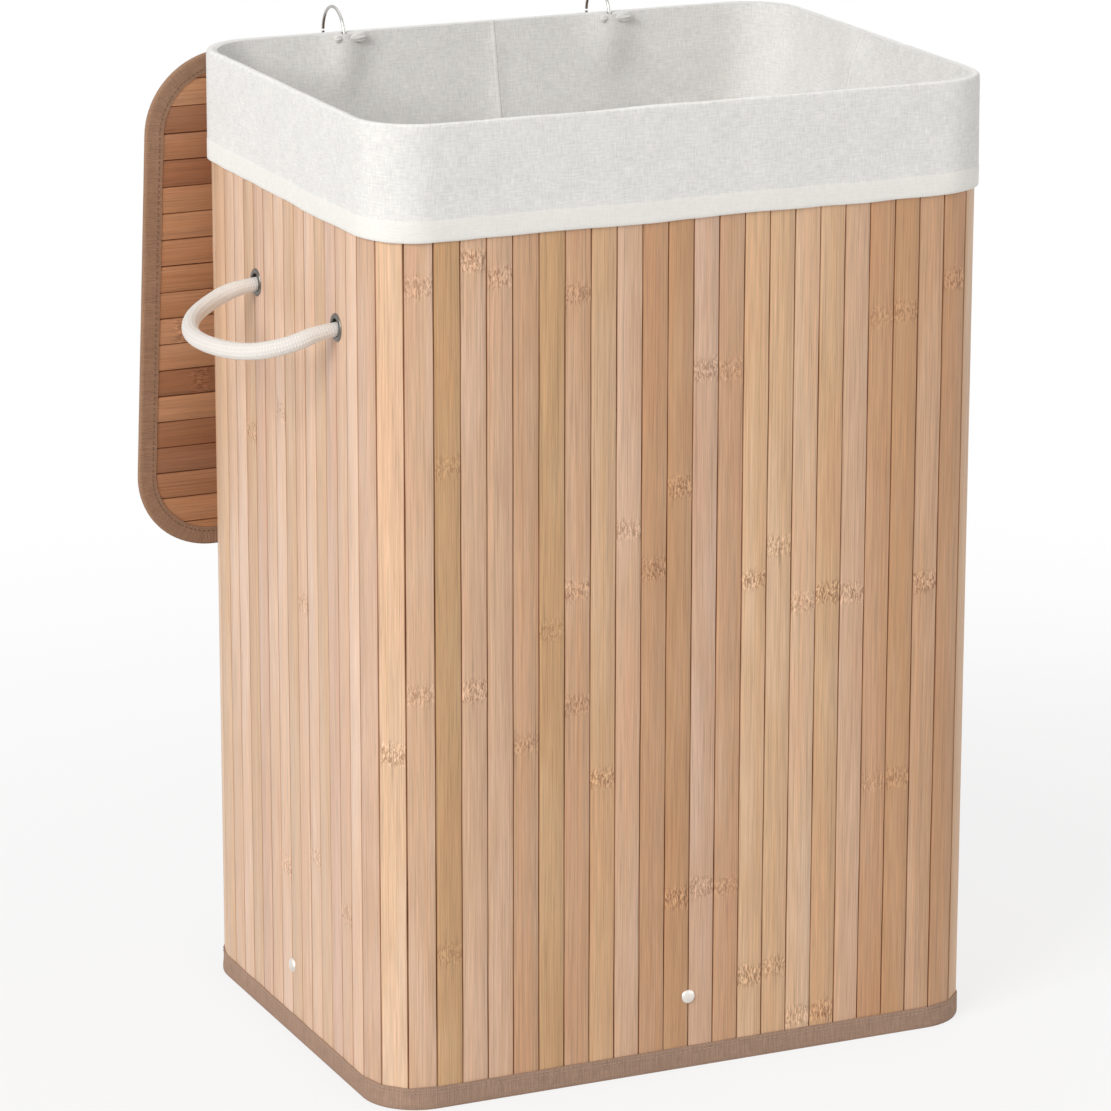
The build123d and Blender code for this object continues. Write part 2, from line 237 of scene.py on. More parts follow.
# shader maths: a wire wraps one socket, and sums on wires add their nodes
class Wire:
    def __init__(self, tree, socket=None):
        self.tree = tree
        self.socket = socket

    def feed(self, made, sockets):
        for name, value in sockets.items():
            if isinstance(value, Wire):
                self.tree.links.new(value.socket, made.inputs[name])
            else:
                made.inputs[name].default_value = value

    def node(self, kind, settings=None, sockets=None, out=0):
        made = self.tree.nodes.new("ShaderNode" + kind)
        for name, value in (settings or {}).items():
            setattr(made, name, value)
        self.feed(made, sockets or {})
        if isinstance(out, tuple):
            return [Wire(self.tree, made.outputs[index]) for index in out]
        return Wire(self.tree, made.outputs[out])

    def maths(self, operation, first, second=0.0):
        return self.node("Math", {"operation": operation}, {0: first, 1: second})

    def __add__(self, other):
        return self.maths("ADD", self, other)

    __radd__ = __add__

    def __sub__(self, other):
        return self.maths("SUBTRACT", self, other)

    def __rsub__(self, other):
        return self.maths("SUBTRACT", other, self)

    def __mul__(self, other):
        return self.maths("MULTIPLY", self, other)

    __rmul__ = __mul__

    def __abs__(self):
        return self.maths("ABSOLUTE", self)

    def least(self, other):
        return self.maths("MINIMUM", self, other)

    def sine(self):
        return self.maths("SINE", self)

    def ease(self, low, high):
        span = {"Value": self, "From Min": low, "From Max": high}
        return self.node("MapRange", {"interpolation_type": "SMOOTHSTEP"}, span)

    def parts(self):
        return self.node("SeparateXYZ", None, {0: self}, (0, 1, 2))

    def stretched(self, scale, shift=(0, 0, 0)):
        return self.node("VectorMath", {"operation": "MULTIPLY_ADD"}, {0: self, 1: scale, 2: shift})

    def noise(self, detail, roughness, distortion=0.0):
        sockets = {"Vector": self, "Scale": 1.0, "Detail": detail, "Roughness": roughness}
        return self.node("TexNoise", None, {**sockets, "Distortion": distortion})

    def mixed(self, factor, first, second, kind="MIX"):
        settings = {"data_type": "RGBA", "blend_type": kind, "clamp_factor": True}
        return self.node("Mix", settings, {0: factor, 6: first, 7: second}, 2)

    def blend(self, factor, other, kind="MIX"):
        return self.mixed(factor, self, other, kind)

    def lit(self, amount):
        return self.node("VectorMath", {"operation": "SCALE"}, {0: self, "Scale": amount})

    def tinted(self, colour):
        return self.node("VectorMath", {"operation": "SCALE"}, {0: colour[:3], "Scale": self})

    def relief(self, strength, depth):
        return self.node("Bump", None, {"Strength": strength, "Distance": depth, "Height": self})


def shade(red, green, blue):
    linear = []
    for channel in (red, green, blue):
        part = channel / 255
        linear.append(part / 12.92 if part <= 0.04045 else ((part + 0.055) / 1.055) ** 2.4)
    return (*linear, 1.0)


def newMaterial(name):
    material = bpy.data.materials.new(name)
    material.use_nodes = True
    shader = material.node_tree.nodes["Principled BSDF"]
    return material, Wire(material.node_tree), shader


def objectPlace(paint):
    return paint.node("TexCoord", out=3)


def clothPlace(paint):
    return paint.node("UVMap", {"uv_map": "UVMap"})


# bamboo: tone, seed, painted edge shade and joints come from each slat
bambooGrain = {
    # width and length of the streaks, detail, distortion
    "fine": (0.0010, 0.16, 3.0, 0.0),
    "hair": (0.0005, 0.042, 2.0, 0.0),
    "line": (0.0010, 0.20, 2.0, 0.0),
    "dash": (0.0010, 0.030, 2.0, 0.0),
    "broad": (0.0050, 0.45, 1.0, 0.0),
    "patch": (0.03, 0.17, 2.0, 0.0),
    "fleck": (0.0010, 0.0032, 1.0, 0.9),
}
bambooJoint = {"half": 0.0095, "halo": 0.022, "core": 0.0030, "waver": 0.006, "pale": 1.46}
bambooTints = {
    "warm": (0.97, 0.86, 0.74, 1.0),
    "rosy": (1.02, 0.94, 0.92, 1.0),
    "bleached": (1.06, 1.11, 1.20, 1.0),
    "joint": (0.52, 0.40, 0.32, 1.0),
    # edge: painted shade of the gaps between slats, laid on the slats' edges
    "edge": (0.58, 0.42, 0.31, 1.0),
}


def bamboo(name, along, roughness):
    material, paint, shader = newMaterial(name)
    place = objectPlace(paint)

    def mark(attribute, out):
        return paint.node("Attribute", {"attribute_name": attribute}, None, out)

    tone, joints = mark("slatTone", 0), mark("slatJoints", 1)
    seed, edge = mark("slatSeed", 2), mark("slatEdgeShade", 2)
    offset = paint.node("CombineXYZ", None, {0: seed * 17.0, 1: seed * 31.0, 2: seed * 53.0})

    def grain(across, lengthwise, detail, distortion):
        scale = [1 / across] * 3
        scale[along] = 1 / lengthwise
        return place.stretched(scale, offset).noise(detail, 0.6, distortion)

    def toned(colour, tint):
        return colour.blend(1.0, bambooTints[tint], "MULTIPLY")

    fine, hair, line, dash, broad, patch, fleck = [grain(*layer) for layer in bambooGrain.values()]
    position = place.parts()[along]
    first, second, third = [abs(position - spot) for spot in joints.parts()]
    nearest = first.least(second).least(third) + (broad - 0.5) * bambooJoint["waver"]
    chance = seed * 7.3
    strength = 0.45 + chance.maths("FRACT", chance) * 0.5
    joint = nearest.ease(bambooJoint["half"], bambooJoint["core"]) * strength
    halo = nearest.ease(bambooJoint["halo"], bambooJoint["core"])

    colour = tone.blend(patch.ease(0.46, 0.34) * 0.6, toned(tone, "rosy"))
    colour = colour.blend(patch.ease(0.48, 0.62) * 0.9, toned(tone, "bleached"))
    colour = colour.blend(broad.ease(0.5, 0.72) * 0.35, toned(tone, "warm"))
    streak = 1.03 + (fine - 0.5) * 0.36 + (hair - 0.5) * 0.78 + (broad - 0.5) * 0.20
    streak = streak - line.ease(0.57, 0.66) * 0.20
    streak = streak - dash.ease(0.56, 0.72) * (0.12 + halo * 0.16) + dash.ease(0.44, 0.30) * 0.08
    colour = colour.lit(streak)
    pale, dark = colour.lit(bambooJoint["pale"]), toned(colour, "joint")
    colour = colour.blend(joint * fleck.ease(0.50, 0.38) * 0.95, dark)
    colour = colour.blend(joint * fleck.ease(0.53, 0.64) * 0.95, pale)
    height = fine * 0.35 + hair * 0.35 + joint * fleck * 1.6
    paint.feed(shader, {
        # slat edges darkened: painted shade of the gaps between slats
        "Base Color": colour.blend(edge * 0.6, toned(tone, "edge")),
        "Roughness": roughness + (fine - 0.5) * 0.25 + joint * 0.12,
        "Normal": height.relief(0.45, 0.0003),
        "Specular IOR Level": 0.5,
    })
    return material


# plain-weave cotton with slubs, for the liner, with a painted highlight along the fold at the rim
cottonWeave = {
    "tone": shade(230, 228, 224),
    "hemTint": (1.01, 1.0, 0.985, 1.0),
    "thread": 0.0008,
    "slub": (0.0010, 0.0070),
    "patch": 0.02,
    "softEdge": 0.0006,
    "seam": (0.0016, 0.0008),
    # fold: reach of the painted highlight along the rim's fold
    "fold": (0.0018, 0.0006),
}


def slubs(cloth, across, along):
    return cloth.stretched((1 / across, 1 / along, 1.0)).noise(2.0, 0.65)


def linerCotton(hemStart, hemEnd, rimAt, girth, sideSeam):
    material, paint, shader = newMaterial("linerCotton")
    cloth = clothPlace(paint)
    width, run = cottonWeave["slub"]
    warp = slubs(cloth, width, run)
    weft = slubs(cloth, run, width)
    patch = slubs(cloth, cottonWeave["patch"], cottonWeave["patch"])
    across, along = cloth.parts()[:2]
    turn = 2 * math.pi / cottonWeave["thread"]
    weave = (across * turn).sine() * (along * turn).sine()
    soft = cottonWeave["softEdge"]
    hem = along.ease(hemStart, hemStart + soft) * along.ease(hemEnd + soft, hemEnd)
    thin = (warp - 0.5) * 0.36 + (weft - 0.5) * 0.36 + (patch - 0.5) * 0.14
    thin = thin * (1.0 - hem * 0.55)
    nearSeam = across.least(girth - across).least(abs(across - sideSeam))
    seam = nearSeam.ease(*cottonWeave["seam"]) * along.ease(rimAt, rimAt + 0.002)
    # a painted highlight brightens the cloth along the fold at the rim
    fold = abs(along - rimAt).ease(*cottonWeave["fold"])
    colour = (0.98 + thin + hem * 0.07 + seam * 0.07 + fold * 0.15).tinted(cottonWeave["tone"])
    height = warp * 0.5 + weft * 0.5 + weave * 0.15 + seam * 2.5
    paint.feed(shader, {
        "Base Color": colour.blend(hem, cottonWeave["hemTint"], "MULTIPLY"),
        "Roughness": 0.92 - hem * 0.05,
        "Normal": height.relief(0.5, 0.0004),
        "Specular IOR Level": 0.2,
        "Sheen Weight": 0.15,
        "Sheen Roughness": 0.5,
    })
    return material


# ribbed woven tape and plain backing cloth
def wovenCloth(name, tone, ribWidth, fade):
    material, paint, shader = newMaterial(name)
    cloth = clothPlace(paint)
    across, along = cloth.parts()[:2]
    rib = (across * (2 * math.pi / ribWidth)).sine()
    cross = (along * (2 * math.pi / (ribWidth * 0.7))).sine()
    yarn = slubs(cloth, ribWidth * 1.1, 0.012)
    weft = slubs(cloth, 0.012, ribWidth * 1.1)
    worn = slubs(cloth, 0.03, 0.02)
    light = 1.0 + rib * 0.10 + cross * 0.04 + (yarn - 0.5) * 0.7 + (weft - 0.5) * 0.35
    height = rib * 0.4 + cross * 0.2 + yarn * 0.5 + weft * 0.4
    paint.feed(shader, {
        "Base Color": (light + (worn - 0.5) * fade).tinted(tone),
        "Roughness": 0.85 + (yarn - 0.5) * 0.2,
        "Normal": height.relief(0.6, 0.0003),
        "Specular IOR Level": 0.25,
    })
    return material


# knitted cotton cord: small V stitches that run along the rope
cordKnit = {"tone": shade(233, 227, 220), "wales": 12.0, "stitch": 0.0017, "lean": 0.0016}


def cottonCord():
    material, paint, shader = newMaterial("cottonCord")
    cloth = clothPlace(paint)
    across, along = cloth.parts()[:2]
    turns = across * cordKnit["wales"]
    lean = turns.maths("PINGPONG", turns, 0.5) * cordKnit["lean"]
    stitch = ((along + lean) * (2 * math.pi / cordKnit["stitch"])).sine()
    wale = (turns * (2 * math.pi)).sine()
    fuzz = cloth.stretched((60.0, 2500.0, 1.0)).noise(2.0, 0.6)
    light = 0.97 + stitch * 0.05 + wale * 0.035 + (fuzz - 0.5) * 0.16
    height = stitch * 0.5 + wale * 0.4 + fuzz * 0.3
    paint.feed(shader, {
        "Base Color": light.tinted(cordKnit["tone"]),
        "Roughness": 0.88 + (fuzz - 0.5) * 0.1,
        "Normal": height.relief(0.5, 0.0004),
        "Specular IOR Level": 0.25,
        "Sheen Weight": 0.2,
    })
    return material


# metals, with fine wear all over
def metal(name, tone, roughness, wearTone):
    material, paint, shader = newMaterial(name)
    place = objectPlace(paint)
    rub = place.stretched((900.0, 900.0, 900.0)).noise(3.0, 0.6)
    haze = place.stretched((180.0, 180.0, 180.0)).noise(2.0, 0.5)
    paint.feed(shader, {
        "Base Color": paint.mixed(haze.ease(0.45, 0.75) * 0.6, tone, wearTone),
        "Roughness": roughness + (rub - 0.5) * 0.25 + (haze - 0.5) * 0.2,
        "Normal": rub.relief(0.15, 0.0001),
        "Metallic": 1.0,
    })
    return material


# bare pressed board under the load
def pressedBoard(tone):
    material, paint, shader = newMaterial("pressedBoard")
    place = objectPlace(paint)
    fibre = place.stretched((500.0, 900.0, 500.0)).noise(4.0, 0.65)
    cloud = place.stretched((30.0, 30.0, 30.0)).noise(2.0, 0.5)
    paint.feed(shader, {
        "Base Color": (0.95 + (fibre - 0.5) * 0.5 + (cloud - 0.5) * 0.25).tinted(tone),
        "Roughness": 0.75 + (fibre - 0.5) * 0.3,
        "Normal": fibre.relief(0.4, 0.0003),
    })
    return material


def thread(name, tone):
    material, paint, shader = newMaterial(name)
    ply = objectPlace(paint).stretched((2600.0, 2600.0, 2600.0)).noise(1.0, 0.5)
    paint.feed(shader, {"Base Color": (0.9 + ply * 0.2).tinted(tone), "Roughness": 0.8 + (ply - 0.5) * 0.2})
    return material


wallBamboo = bamboo("wallBamboo", 2, 0.42)
lidBamboo = bamboo("lidBamboo", 0, 0.46)
edgeTape = wovenCloth("edgeTape", shade(165, 136, 117), 0.0011, 0.18)
lidEdging = wovenCloth("lidEdging", shade(158, 124, 100), 0.0011, 0.18)
backingCloth = wovenCloth("backingCloth", shade(150, 112, 80), 0.0013, 0.12)
cordCotton = cottonCord()
darkNickel = metal("darkNickel", shade(120, 116, 110), 0.34, shade(86, 82, 78))
rivetSatin = metal("rivetSatin", shade(232, 226, 220), 0.42, shade(206, 198, 190))
ringWire = metal("ringWire", shade(188, 186, 182), 0.28, shade(150, 148, 144))
tapeThread = thread("tapeThread", shade(176, 150, 132))
lidThread = thread("lidThread", shade(122, 94, 74))
hemThread = thread("hemThread", shade(236, 233, 226))
boardFibre = pressedBoard(shade(170, 138, 104))
print("finishes mixed")


# shaping by formula: soft steps, ripples, lengths along a line
def swell(value, low, high):
    part = min(max((value - low) / (high - low), 0.0), 1.0)
    return part * part * (3 - 2 * part)


def bell(distance, reach):
    return math.exp(-((distance / reach) ** 2))


def ripple(point, pace, layer):
    return noise.noise(Vector((point.x * pace, point.y * pace, layer)))


def alongLine(points):
    reach = [0.0]
    for before, after in zip(points, points[1:]):
        reach.append(reach[-1] + math.dist(before, after))
    return reach


# grids and balls shaped by a formula; a grid's cloth map is in metres
def wrapGrid(name, around, place, width, lengths):
    rows = len(lengths) - 1
    clearSelection()
    bpy.ops.mesh.primitive_grid_add(x_subdivisions=around, y_subdivisions=rows, size=1)
    piece = bpy.context.object
    piece.name = name
    for loop in piece.data.uv_layers.active.data:
        loop.uv = (loop.uv.x * width, lengths[round(loop.uv.y * rows)])
    for vertex in piece.data.vertices:
        vertex.co = place(vertex.co.x + 0.5, round((vertex.co.y + 0.5) * rows))
    mergeSeam(piece)
    return piece


def shapedBall(segments, rings, place):
    clearSelection()
    bpy.ops.mesh.primitive_uv_sphere_add(segments=segments, ring_count=rings, radius=1.0)
    ball = bpy.context.object
    for vertex in ball.data.vertices:
        vertex.co = place(vertex.co)
    return ball


def softGroup(parts, name, *settling):
    group = joinAll(parts, name)
    faceOutwards(group)
    smooth(group, 60)
    settle(group, *settling)
    return group


# rope handles: route points as drawn in the part, mirrored for the right side
rope = {
    "radius": 0.0051,
    "neck": 0.0043,
    "neckReach": (0.008, 0.030),
    "sag": 0.0008,
    "lump": 0.02,
    "lumpPace": 90,
    "around": 20,
    "stub": 0.1935,
    "route": [
        (0.2067, 0.046, 0.470),
        (0.228, 0.046, 0.462),
        (0.251, 0.028, 0.455),
        (0.265, -0.019, 0.454),
        (0.251, -0.066, 0.455),
        (0.228, -0.084, 0.462),
        (0.2067, -0.084, 0.470),
    ],
    "droop": {"left": 0, "right": 60},
    "fold": {
        "left": ((0.2012, 0.4700), (0.2140, 0.4700)),
        "right": ((0.2037, 0.4675), (0.2111, 0.4601)),
    },
    "eyeletFace": 0.2012,
    "length": 0.224,
}
ropeEnds = [rope["route"][0], rope["route"][-1]]


def ropeLine(side, droop):
    first, last = ropeEnds
    level, fall = math.cos(math.radians(droop)), math.sin(math.radians(droop))
    drawn = [(rope["stub"], *first[1:])]
    for x, y, z in rope["route"]:
        out, sink = x - first[0], z - first[2]
        drawn.append((first[0] + out * level + sink * fall, y, first[2] + sink * level - out * fall))
    drawn.append((rope["stub"], *last[1:]))
    curve = bpy.data.curves.new("ropeLine", "CURVE")
    curve.dimensions = "3D"
    spline = curve.splines.new("NURBS")
    spline.points.add(len(drawn) - 1)
    for mark, (x, y, z) in zip(spline.points, drawn):
        mark.co = (side * x, y, z, 1.0)
    spline.order_u = 3
    spline.use_endpoint_u = True
    spline.resolution_u = 14
    holder = bpy.data.objects.new("ropeLine", curve)
    bpy.context.scene.collection.objects.link(holder)
    bpy.context.view_layer.update()
    line = bpy.data.meshes.new_from_object(holder)
    points = [vertex.co.copy() for vertex in line.vertices]
    drop(holder)
    return points


def ropeTube(name, side, droop):
    points = ropeLine(side, droop)
    reach = alongLine(points)
    last = len(points) - 1
    tangents = []
    for index in range(len(points)):
        tangents.append((points[min(index + 1, last)] - points[max(index - 1, 0)]).normalized())
    frames = [up.copy()]
    for tangent in tangents[1:]:
        carried = frames[-1] - tangent * frames[-1].dot(tangent)
        frames.append(carried.normalized())

    def place(share, row):
        normal = frames[row]
        other = tangents[row].cross(normal)
        turn = 2 * math.pi * share
        around = Vector((math.cos(turn), math.sin(turn), 0))
        lump = 1 + rope["lump"] * noise.noise(points[row] * rope["lumpPace"] + around)
        spoke = normal * around.x + other * around.y
        fullness = swell(min(reach[row], reach[-1] - reach[row]), *rope["neckReach"])
        radius = rope["neck"] + (rope["radius"] - rope["neck"]) * fullness
        return points[row] + spoke * radius * lump - up * rope["sag"] * (1 - fullness)

    tube = wrapGrid(name, rope["around"], place, 1.0, reach)
    capEnds(tube)
    smooth(tube, 60)
    dress(tube, cordCotton)
    return tube, points


# stopper knots inside the wall
knot = {
    "radius": 0.0098,
    "thickness": 0.0126,
    "face": 0.1972,
    "ridges": 3,
    "ridgeDepth": 0.09,
    "lay": 2.6,
    "fullness": 0.8,
}


def stopperKnots(hand, side):
    def knotted(spot):
        turn = math.atan2(spot.y, spot.x)
        ridge = math.cos(knot["ridges"] * turn + knot["lay"] * spot.z)
        radius = knot["radius"] * (1 - knot["ridgeDepth"] * (1 - ridge) / 2)
        flat = math.copysign(abs(spot.z) ** knot["fullness"], spot.z)
        return side * flat * knot["thickness"] / 2, spot.x * radius, spot.y * radius

    parts = []
    for x, y, z in ropeEnds:
        lump = shapedBall(32, 20, knotted)
        lump.data.transform(Matrix.Translation((side * (knot["face"] - knot["thickness"] / 2), y, z)))
        parts.append(lump)
    name = f"stopperKnots.{hand}"
    return softGroup(parts, name, cordCotton, "hamper", "cotton_rope", f"handle_rope_ends_{hand}")


for side, hand in ((-1, "left"), (1, "right")):
    tube, points = ropeTube(f"ropeHandle.{hand}", side, rope["droop"][hand])
    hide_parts(f"handle_rope_{hand}")
    foldStart, foldEnd = [(side * x, 0, z) for x, z in rope["fold"][hand]]
    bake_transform(tube)
    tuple(foldStart)
    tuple(foldEnd)
    knots = stopperKnots(hand, side)
    [tuple(point) for point in points]
print("ropes hung")


# bamboo slats: one strip is modelled, copied, and each copy gets its own small faults
slats = {
    "thickness": 0.0016,
    "edge": 0.0004,
    "gap": 0.0006,
    "cuts": 72,
    "sway": 0.00014,
    "waves": ((29, 0.6), (76, 0.4)),
    "tilt": 0.006,
    "depth": 0.00007,
    "swell": 0.00016,
    "swellReach": 0.007,
    "widthSpread": 0.00016,
    "toneSpread": (0.98, 1.02),
    "jointSpan": (0.05, 0.52),
    "plainShare": 0.35,
    "singleShare": 0.5,
    "jointStep": 0.55,
    "noJoint": -1.0,
}
tones = {
    "paleStraw": (214, 178, 145),
    "straw": (209, 171, 134),
    "pinkTan": (206, 168, 137),
    "tan": (201, 162, 124),
    "brown": (196, 155, 121),
    "honey": (196, 155, 112),
    "russet": (191, 147, 110),
    "walnut": (188, 144, 105),
    "greyPink": (201, 164, 136),
    # cream, shell, sand and blush are paler tones for the side walls: painted sheen of the key light
    "cream": (218, 183, 155),
    "shell": (212, 176, 147),
    "sand": (205, 169, 136),
    "blush": (207, 170, 144),
}
lidTones = {
    "chestnut": (171, 119, 84),
    "copper": (180, 127, 89),
    "umber": (157, 107, 75),
    "caramel": (188, 136, 98),
}
wallLow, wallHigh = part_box("wall_slats_front")
halfDepth = -wallLow.y
halfWidth = -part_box("wall_slats_left")[0].x
slatFoot = wallLow.z
slatLength = wallHigh.z - wallLow.z
dice = random.Random(7)


def modelStrip(width, length):
    thickness = slats["thickness"]
    strip = cubeAt((width, thickness, length), (0, -thickness / 2, length / 2))

    def runsAlong(edge):
        first, second = edge.verts
        return abs(first.co.z - second.co.z) > length / 2

    openMesh(strip)
    pickEdges(strip, lambda edge: runsAlong(edge) and edge.verts[0].co.y > -thickness / 2)
    bpy.ops.mesh.bevel(offset=slats["edge"], segments=2, affect="EDGES")
    pickEdges(strip, runsAlong)
    bpy.ops.mesh.subdivide(number_cuts=slats["cuts"])
    closeMesh()
    # vertices at the slat's long edges, which get painted shade of the gaps
    edges = [float(abs(vertex.co.x) > width / 2 - slats["edge"] / 2) for vertex in strip.data.vertices]
    strip.data.attributes.new("slatEdgeShade", "FLOAT", "POINT").data.foreach_set("value", edges)
    return strip


def looseStrip(strip, name, joints):
    twin = copyOf(strip, name)
    phases = [dice.uniform(0, 2 * math.pi) for _ in range(4)]
    tilt = dice.uniform(-1, 1) * slats["tilt"]
    depth = dice.uniform(-1, 1) * slats["depth"]
    wider = dice.uniform(-1, 1) * slats["widthSpread"]
    for vertex in twin.data.vertices:
        x, y, z = vertex.co
        starts = phases[:2] if x > 0 else phases[2:]
        sway = sum(share * math.sin(z * pace + start) for (pace, share), start in zip(slats["waves"], starts))
        bulge = 0.0
        if y > -slats["thickness"] / 2:
            bulge = sum(slats["swell"] * bell(z - joint, slats["swellReach"]) for joint in joints)
        across = x + sway * slats["sway"] + math.copysign(wider / 2, x)
        vertex.co = (across, y + tilt * x + depth + bulge, z)
    return twin


def tintSlat(piece, tone, joints):
    seed = dice.uniform(0, 10)
    marks = (list(joints) + [slats["noJoint"]] * 3)[:3]
    lift = dice.uniform(*slats["toneSpread"])
    colour = [channel * lift for channel in shade(*tone)[:3]] + [1.0]
    for name, kind, field, values in (
        ("slatTone", "FLOAT_COLOR", "color", colour),
        ("slatSeed", "FLOAT", "value", [seed]),
        ("slatJoints", "FLOAT_VECTOR", "vector", marks),
    ):
        layer = piece.data.attributes.new(name, kind, "POINT")
        layer.data.foreach_set(field, values * len(piece.data.vertices))


def randomJoints(low, high):
    if dice.random() < slats["plainShare"]:
        return ()
    first = dice.uniform(low, high)
    if dice.random() < slats["singleShare"]:
        return (first,)
    return (first, low + (first - low + (high - low) * slats["jointStep"]) % (high - low))


# a panel of slats; joints are counted from the slats' feet, which lie at foot
def slatPanel(name, strip, foot, seats, jointsOf, toneOf, fit):
    parts = []
    for index, seat in enumerate(seats):
        joints = jointsOf(index)
        slat = looseStrip(strip, name, joints)
        slat.data.transform(seat)
        if fit:
            fit(slat, index)
        tintSlat(slat, toneOf(index), [foot + joint for joint in joints])
        parts.append(slat)
    drop(strip)
    panel = joinAll(parts, name)
    smooth(panel, 40)
    return panel


# a wall's slats, with the joints and tones that are given, or else drawn
def uprightSlats(name, node, width, seats, look, fit=None):
    def jointsOf(index):
        heights = look["joints"].get(index, ()) if "joints" in look else randomJoints(*slats["jointSpan"])
        return [height - slatFoot for height in heights]

    def toneOf(index):
        return tones[look["tones"][index] if "tones" in look else dice.choice(list(tones))]

    strip = modelStrip(width - slats["gap"], slatLength)
    panel = slatPanel(name, strip, slatFoot, seats, jointsOf, toneOf, fit)
    settle(panel, wallBamboo, "hamper", "wall_bamboo", node)


# flat walls by their outward side, distance from the middle and span
corner = {"radius": 0.034, "count": 3, "relief": 0.0005}
frontSpan = 2 * (halfWidth - corner["radius"])
sideSpan = 2 * (halfDepth - corner["radius"])
walls = {
    "front": (-toBack, halfDepth, frontSpan),
    "back": (toBack, halfDepth, frontSpan),
    "left": (-toRight, halfWidth, sideSpan),
    "right": (toRight, halfWidth, sideSpan),
}
eyelet = {
    "ropeHole": 0.0054,
    "ringHole": 0.0055,
    "wall": 0.0006,
    "flange": 0.0085,
    "spare": 0.0001,
    "ropeRise": 0.0012,
    "ringRise": 0.0005,
}
rings = {"spots": (-0.102, 0.080), "wallHeight": 0.5828, "wire": 0.001, "gapDegrees": 4}
ropeBore = eyelet["ropeHole"] + eyelet["wall"] + eyelet["spare"]
ringBore = eyelet["ringHole"] + eyelet["wall"] + eyelet["spare"]
holes = {
    "left": [(Vector((-halfWidth, y, z)), ropeBore) for x, y, z in ropeEnds],
    "right": [(Vector((halfWidth, y, z)), ropeBore) for x, y, z in ropeEnds],
    "back": [(Vector((x, halfDepth, rings["wallHeight"])), ringBore) for x in rings["spots"]],
}

# slats numbered from the left as seen from outside; tones and joints not given are drawn
# the side walls get paler tones, a painted sheen standing in for the key light on the left wall; the right
# wall shares them
sheenPaledSideTones = ["sand", "shell", "cream", "sand", "blush", "shell", "cream"] * 2
wallLooks = {
    "front": {
        "count": 20,
        "tones": [
            "honey", "pinkTan", "pinkTan", "brown", "honey", "brown", "tan", "pinkTan", "russet", "walnut",
            "greyPink", "brown", "straw", "straw", "paleStraw", "tan", "pinkTan", "russet", "walnut", "brown",
        ],
        "joints": {
            0: (0.397, 0.097), 1: (0.518, 0.259), 2: (0.507,), 3: (0.222,), 4: (0.290,),
            5: (0.493, 0.242, 0.313), 6: (0.194,), 7: (0.346,), 8: (0.320,), 9: (0.369, 0.111),
            10: (0.439, 0.116), 11: (0.437, 0.114), 12: (0.306, 0.053), 13: (0.325, 0.057),
            14: (0.288, 0.022), 15: (0.292, 0.023), 16: (0.290,), 17: (0.460, 0.167),
            18: (0.462, 0.168), 19: (0.291,),
        },
    },
    "left": {
        "count": 14,
        "tones": sheenPaledSideTones,
        "joints": {3: (0.374,), 6: (0.398, 0.110), 8: (0.287,), 9: (0.13,), 12: (0.109,)},
    },
    "right": {"count": 14, "tones": sheenPaledSideTones},
    "back": {"count": 20},
}
cornerLooks = {
    "front_left": {"tones": ("greyPink", "paleStraw", "pinkTan"), "joints": {2: (0.505, 0.260), 1: (0.223,)}},
    "front_right": {"tones": ("russet", "tan", "brown"), "joints": {0: (0.478,)}},
    "back_left": {},
    "back_right": {},
}


def slatWall(name, look):
    outward, reach, span = walls[name]
    across = outward.cross(up)
    pitch = span / look["count"]
    offsets = [((look["count"] - 1) / 2 - index) * pitch for index in range(look["count"])]
    seats = [facing(outward * reach + across * offset + up * slatFoot, outward) for offset in offsets]

    def boreHoles(slat, index):
        for spot, radius in holes.get(name, ()):
            if abs(spot.dot(across) - offsets[index]) < pitch / 2 + radius:
                bore(slat, spot, outward, radius)

    uprightSlats(f"wallSlats.{name}", f"wall_slats_{name}", pitch, seats, look, boreHoles)


def cornerWall(name, look):
    xSide = -1 if name.endswith("left") else 1
    ySide = -1 if name.startswith("front") else 1
    radius = corner["radius"]
    step = math.pi / 2 / corner["count"]
    chord = 2 * radius * math.sin(step / 2)
    centre = Vector((xSide * (halfWidth - radius), ySide * (halfDepth - radius), slatFoot))
    firstTurn = math.atan2(ySide, xSide) - math.pi / 4
    seats = []
    for index in range(corner["count"]):
        turn = firstTurn + (index + 0.5) * step
        outward = Vector((math.cos(turn), math.sin(turn), 0))
        seats.append(facing(centre + outward * radius * math.cos(step / 2), outward))
    width = chord - corner["relief"]
    uprightSlats(f"cornerSlats.{name}", f"corner_slats_{name}", width, seats, look)


for name, look in wallLooks.items():
    slatWall(name, look)
for name, look in cornerLooks.items():
    cornerWall(name, look)
print("walls slatted")


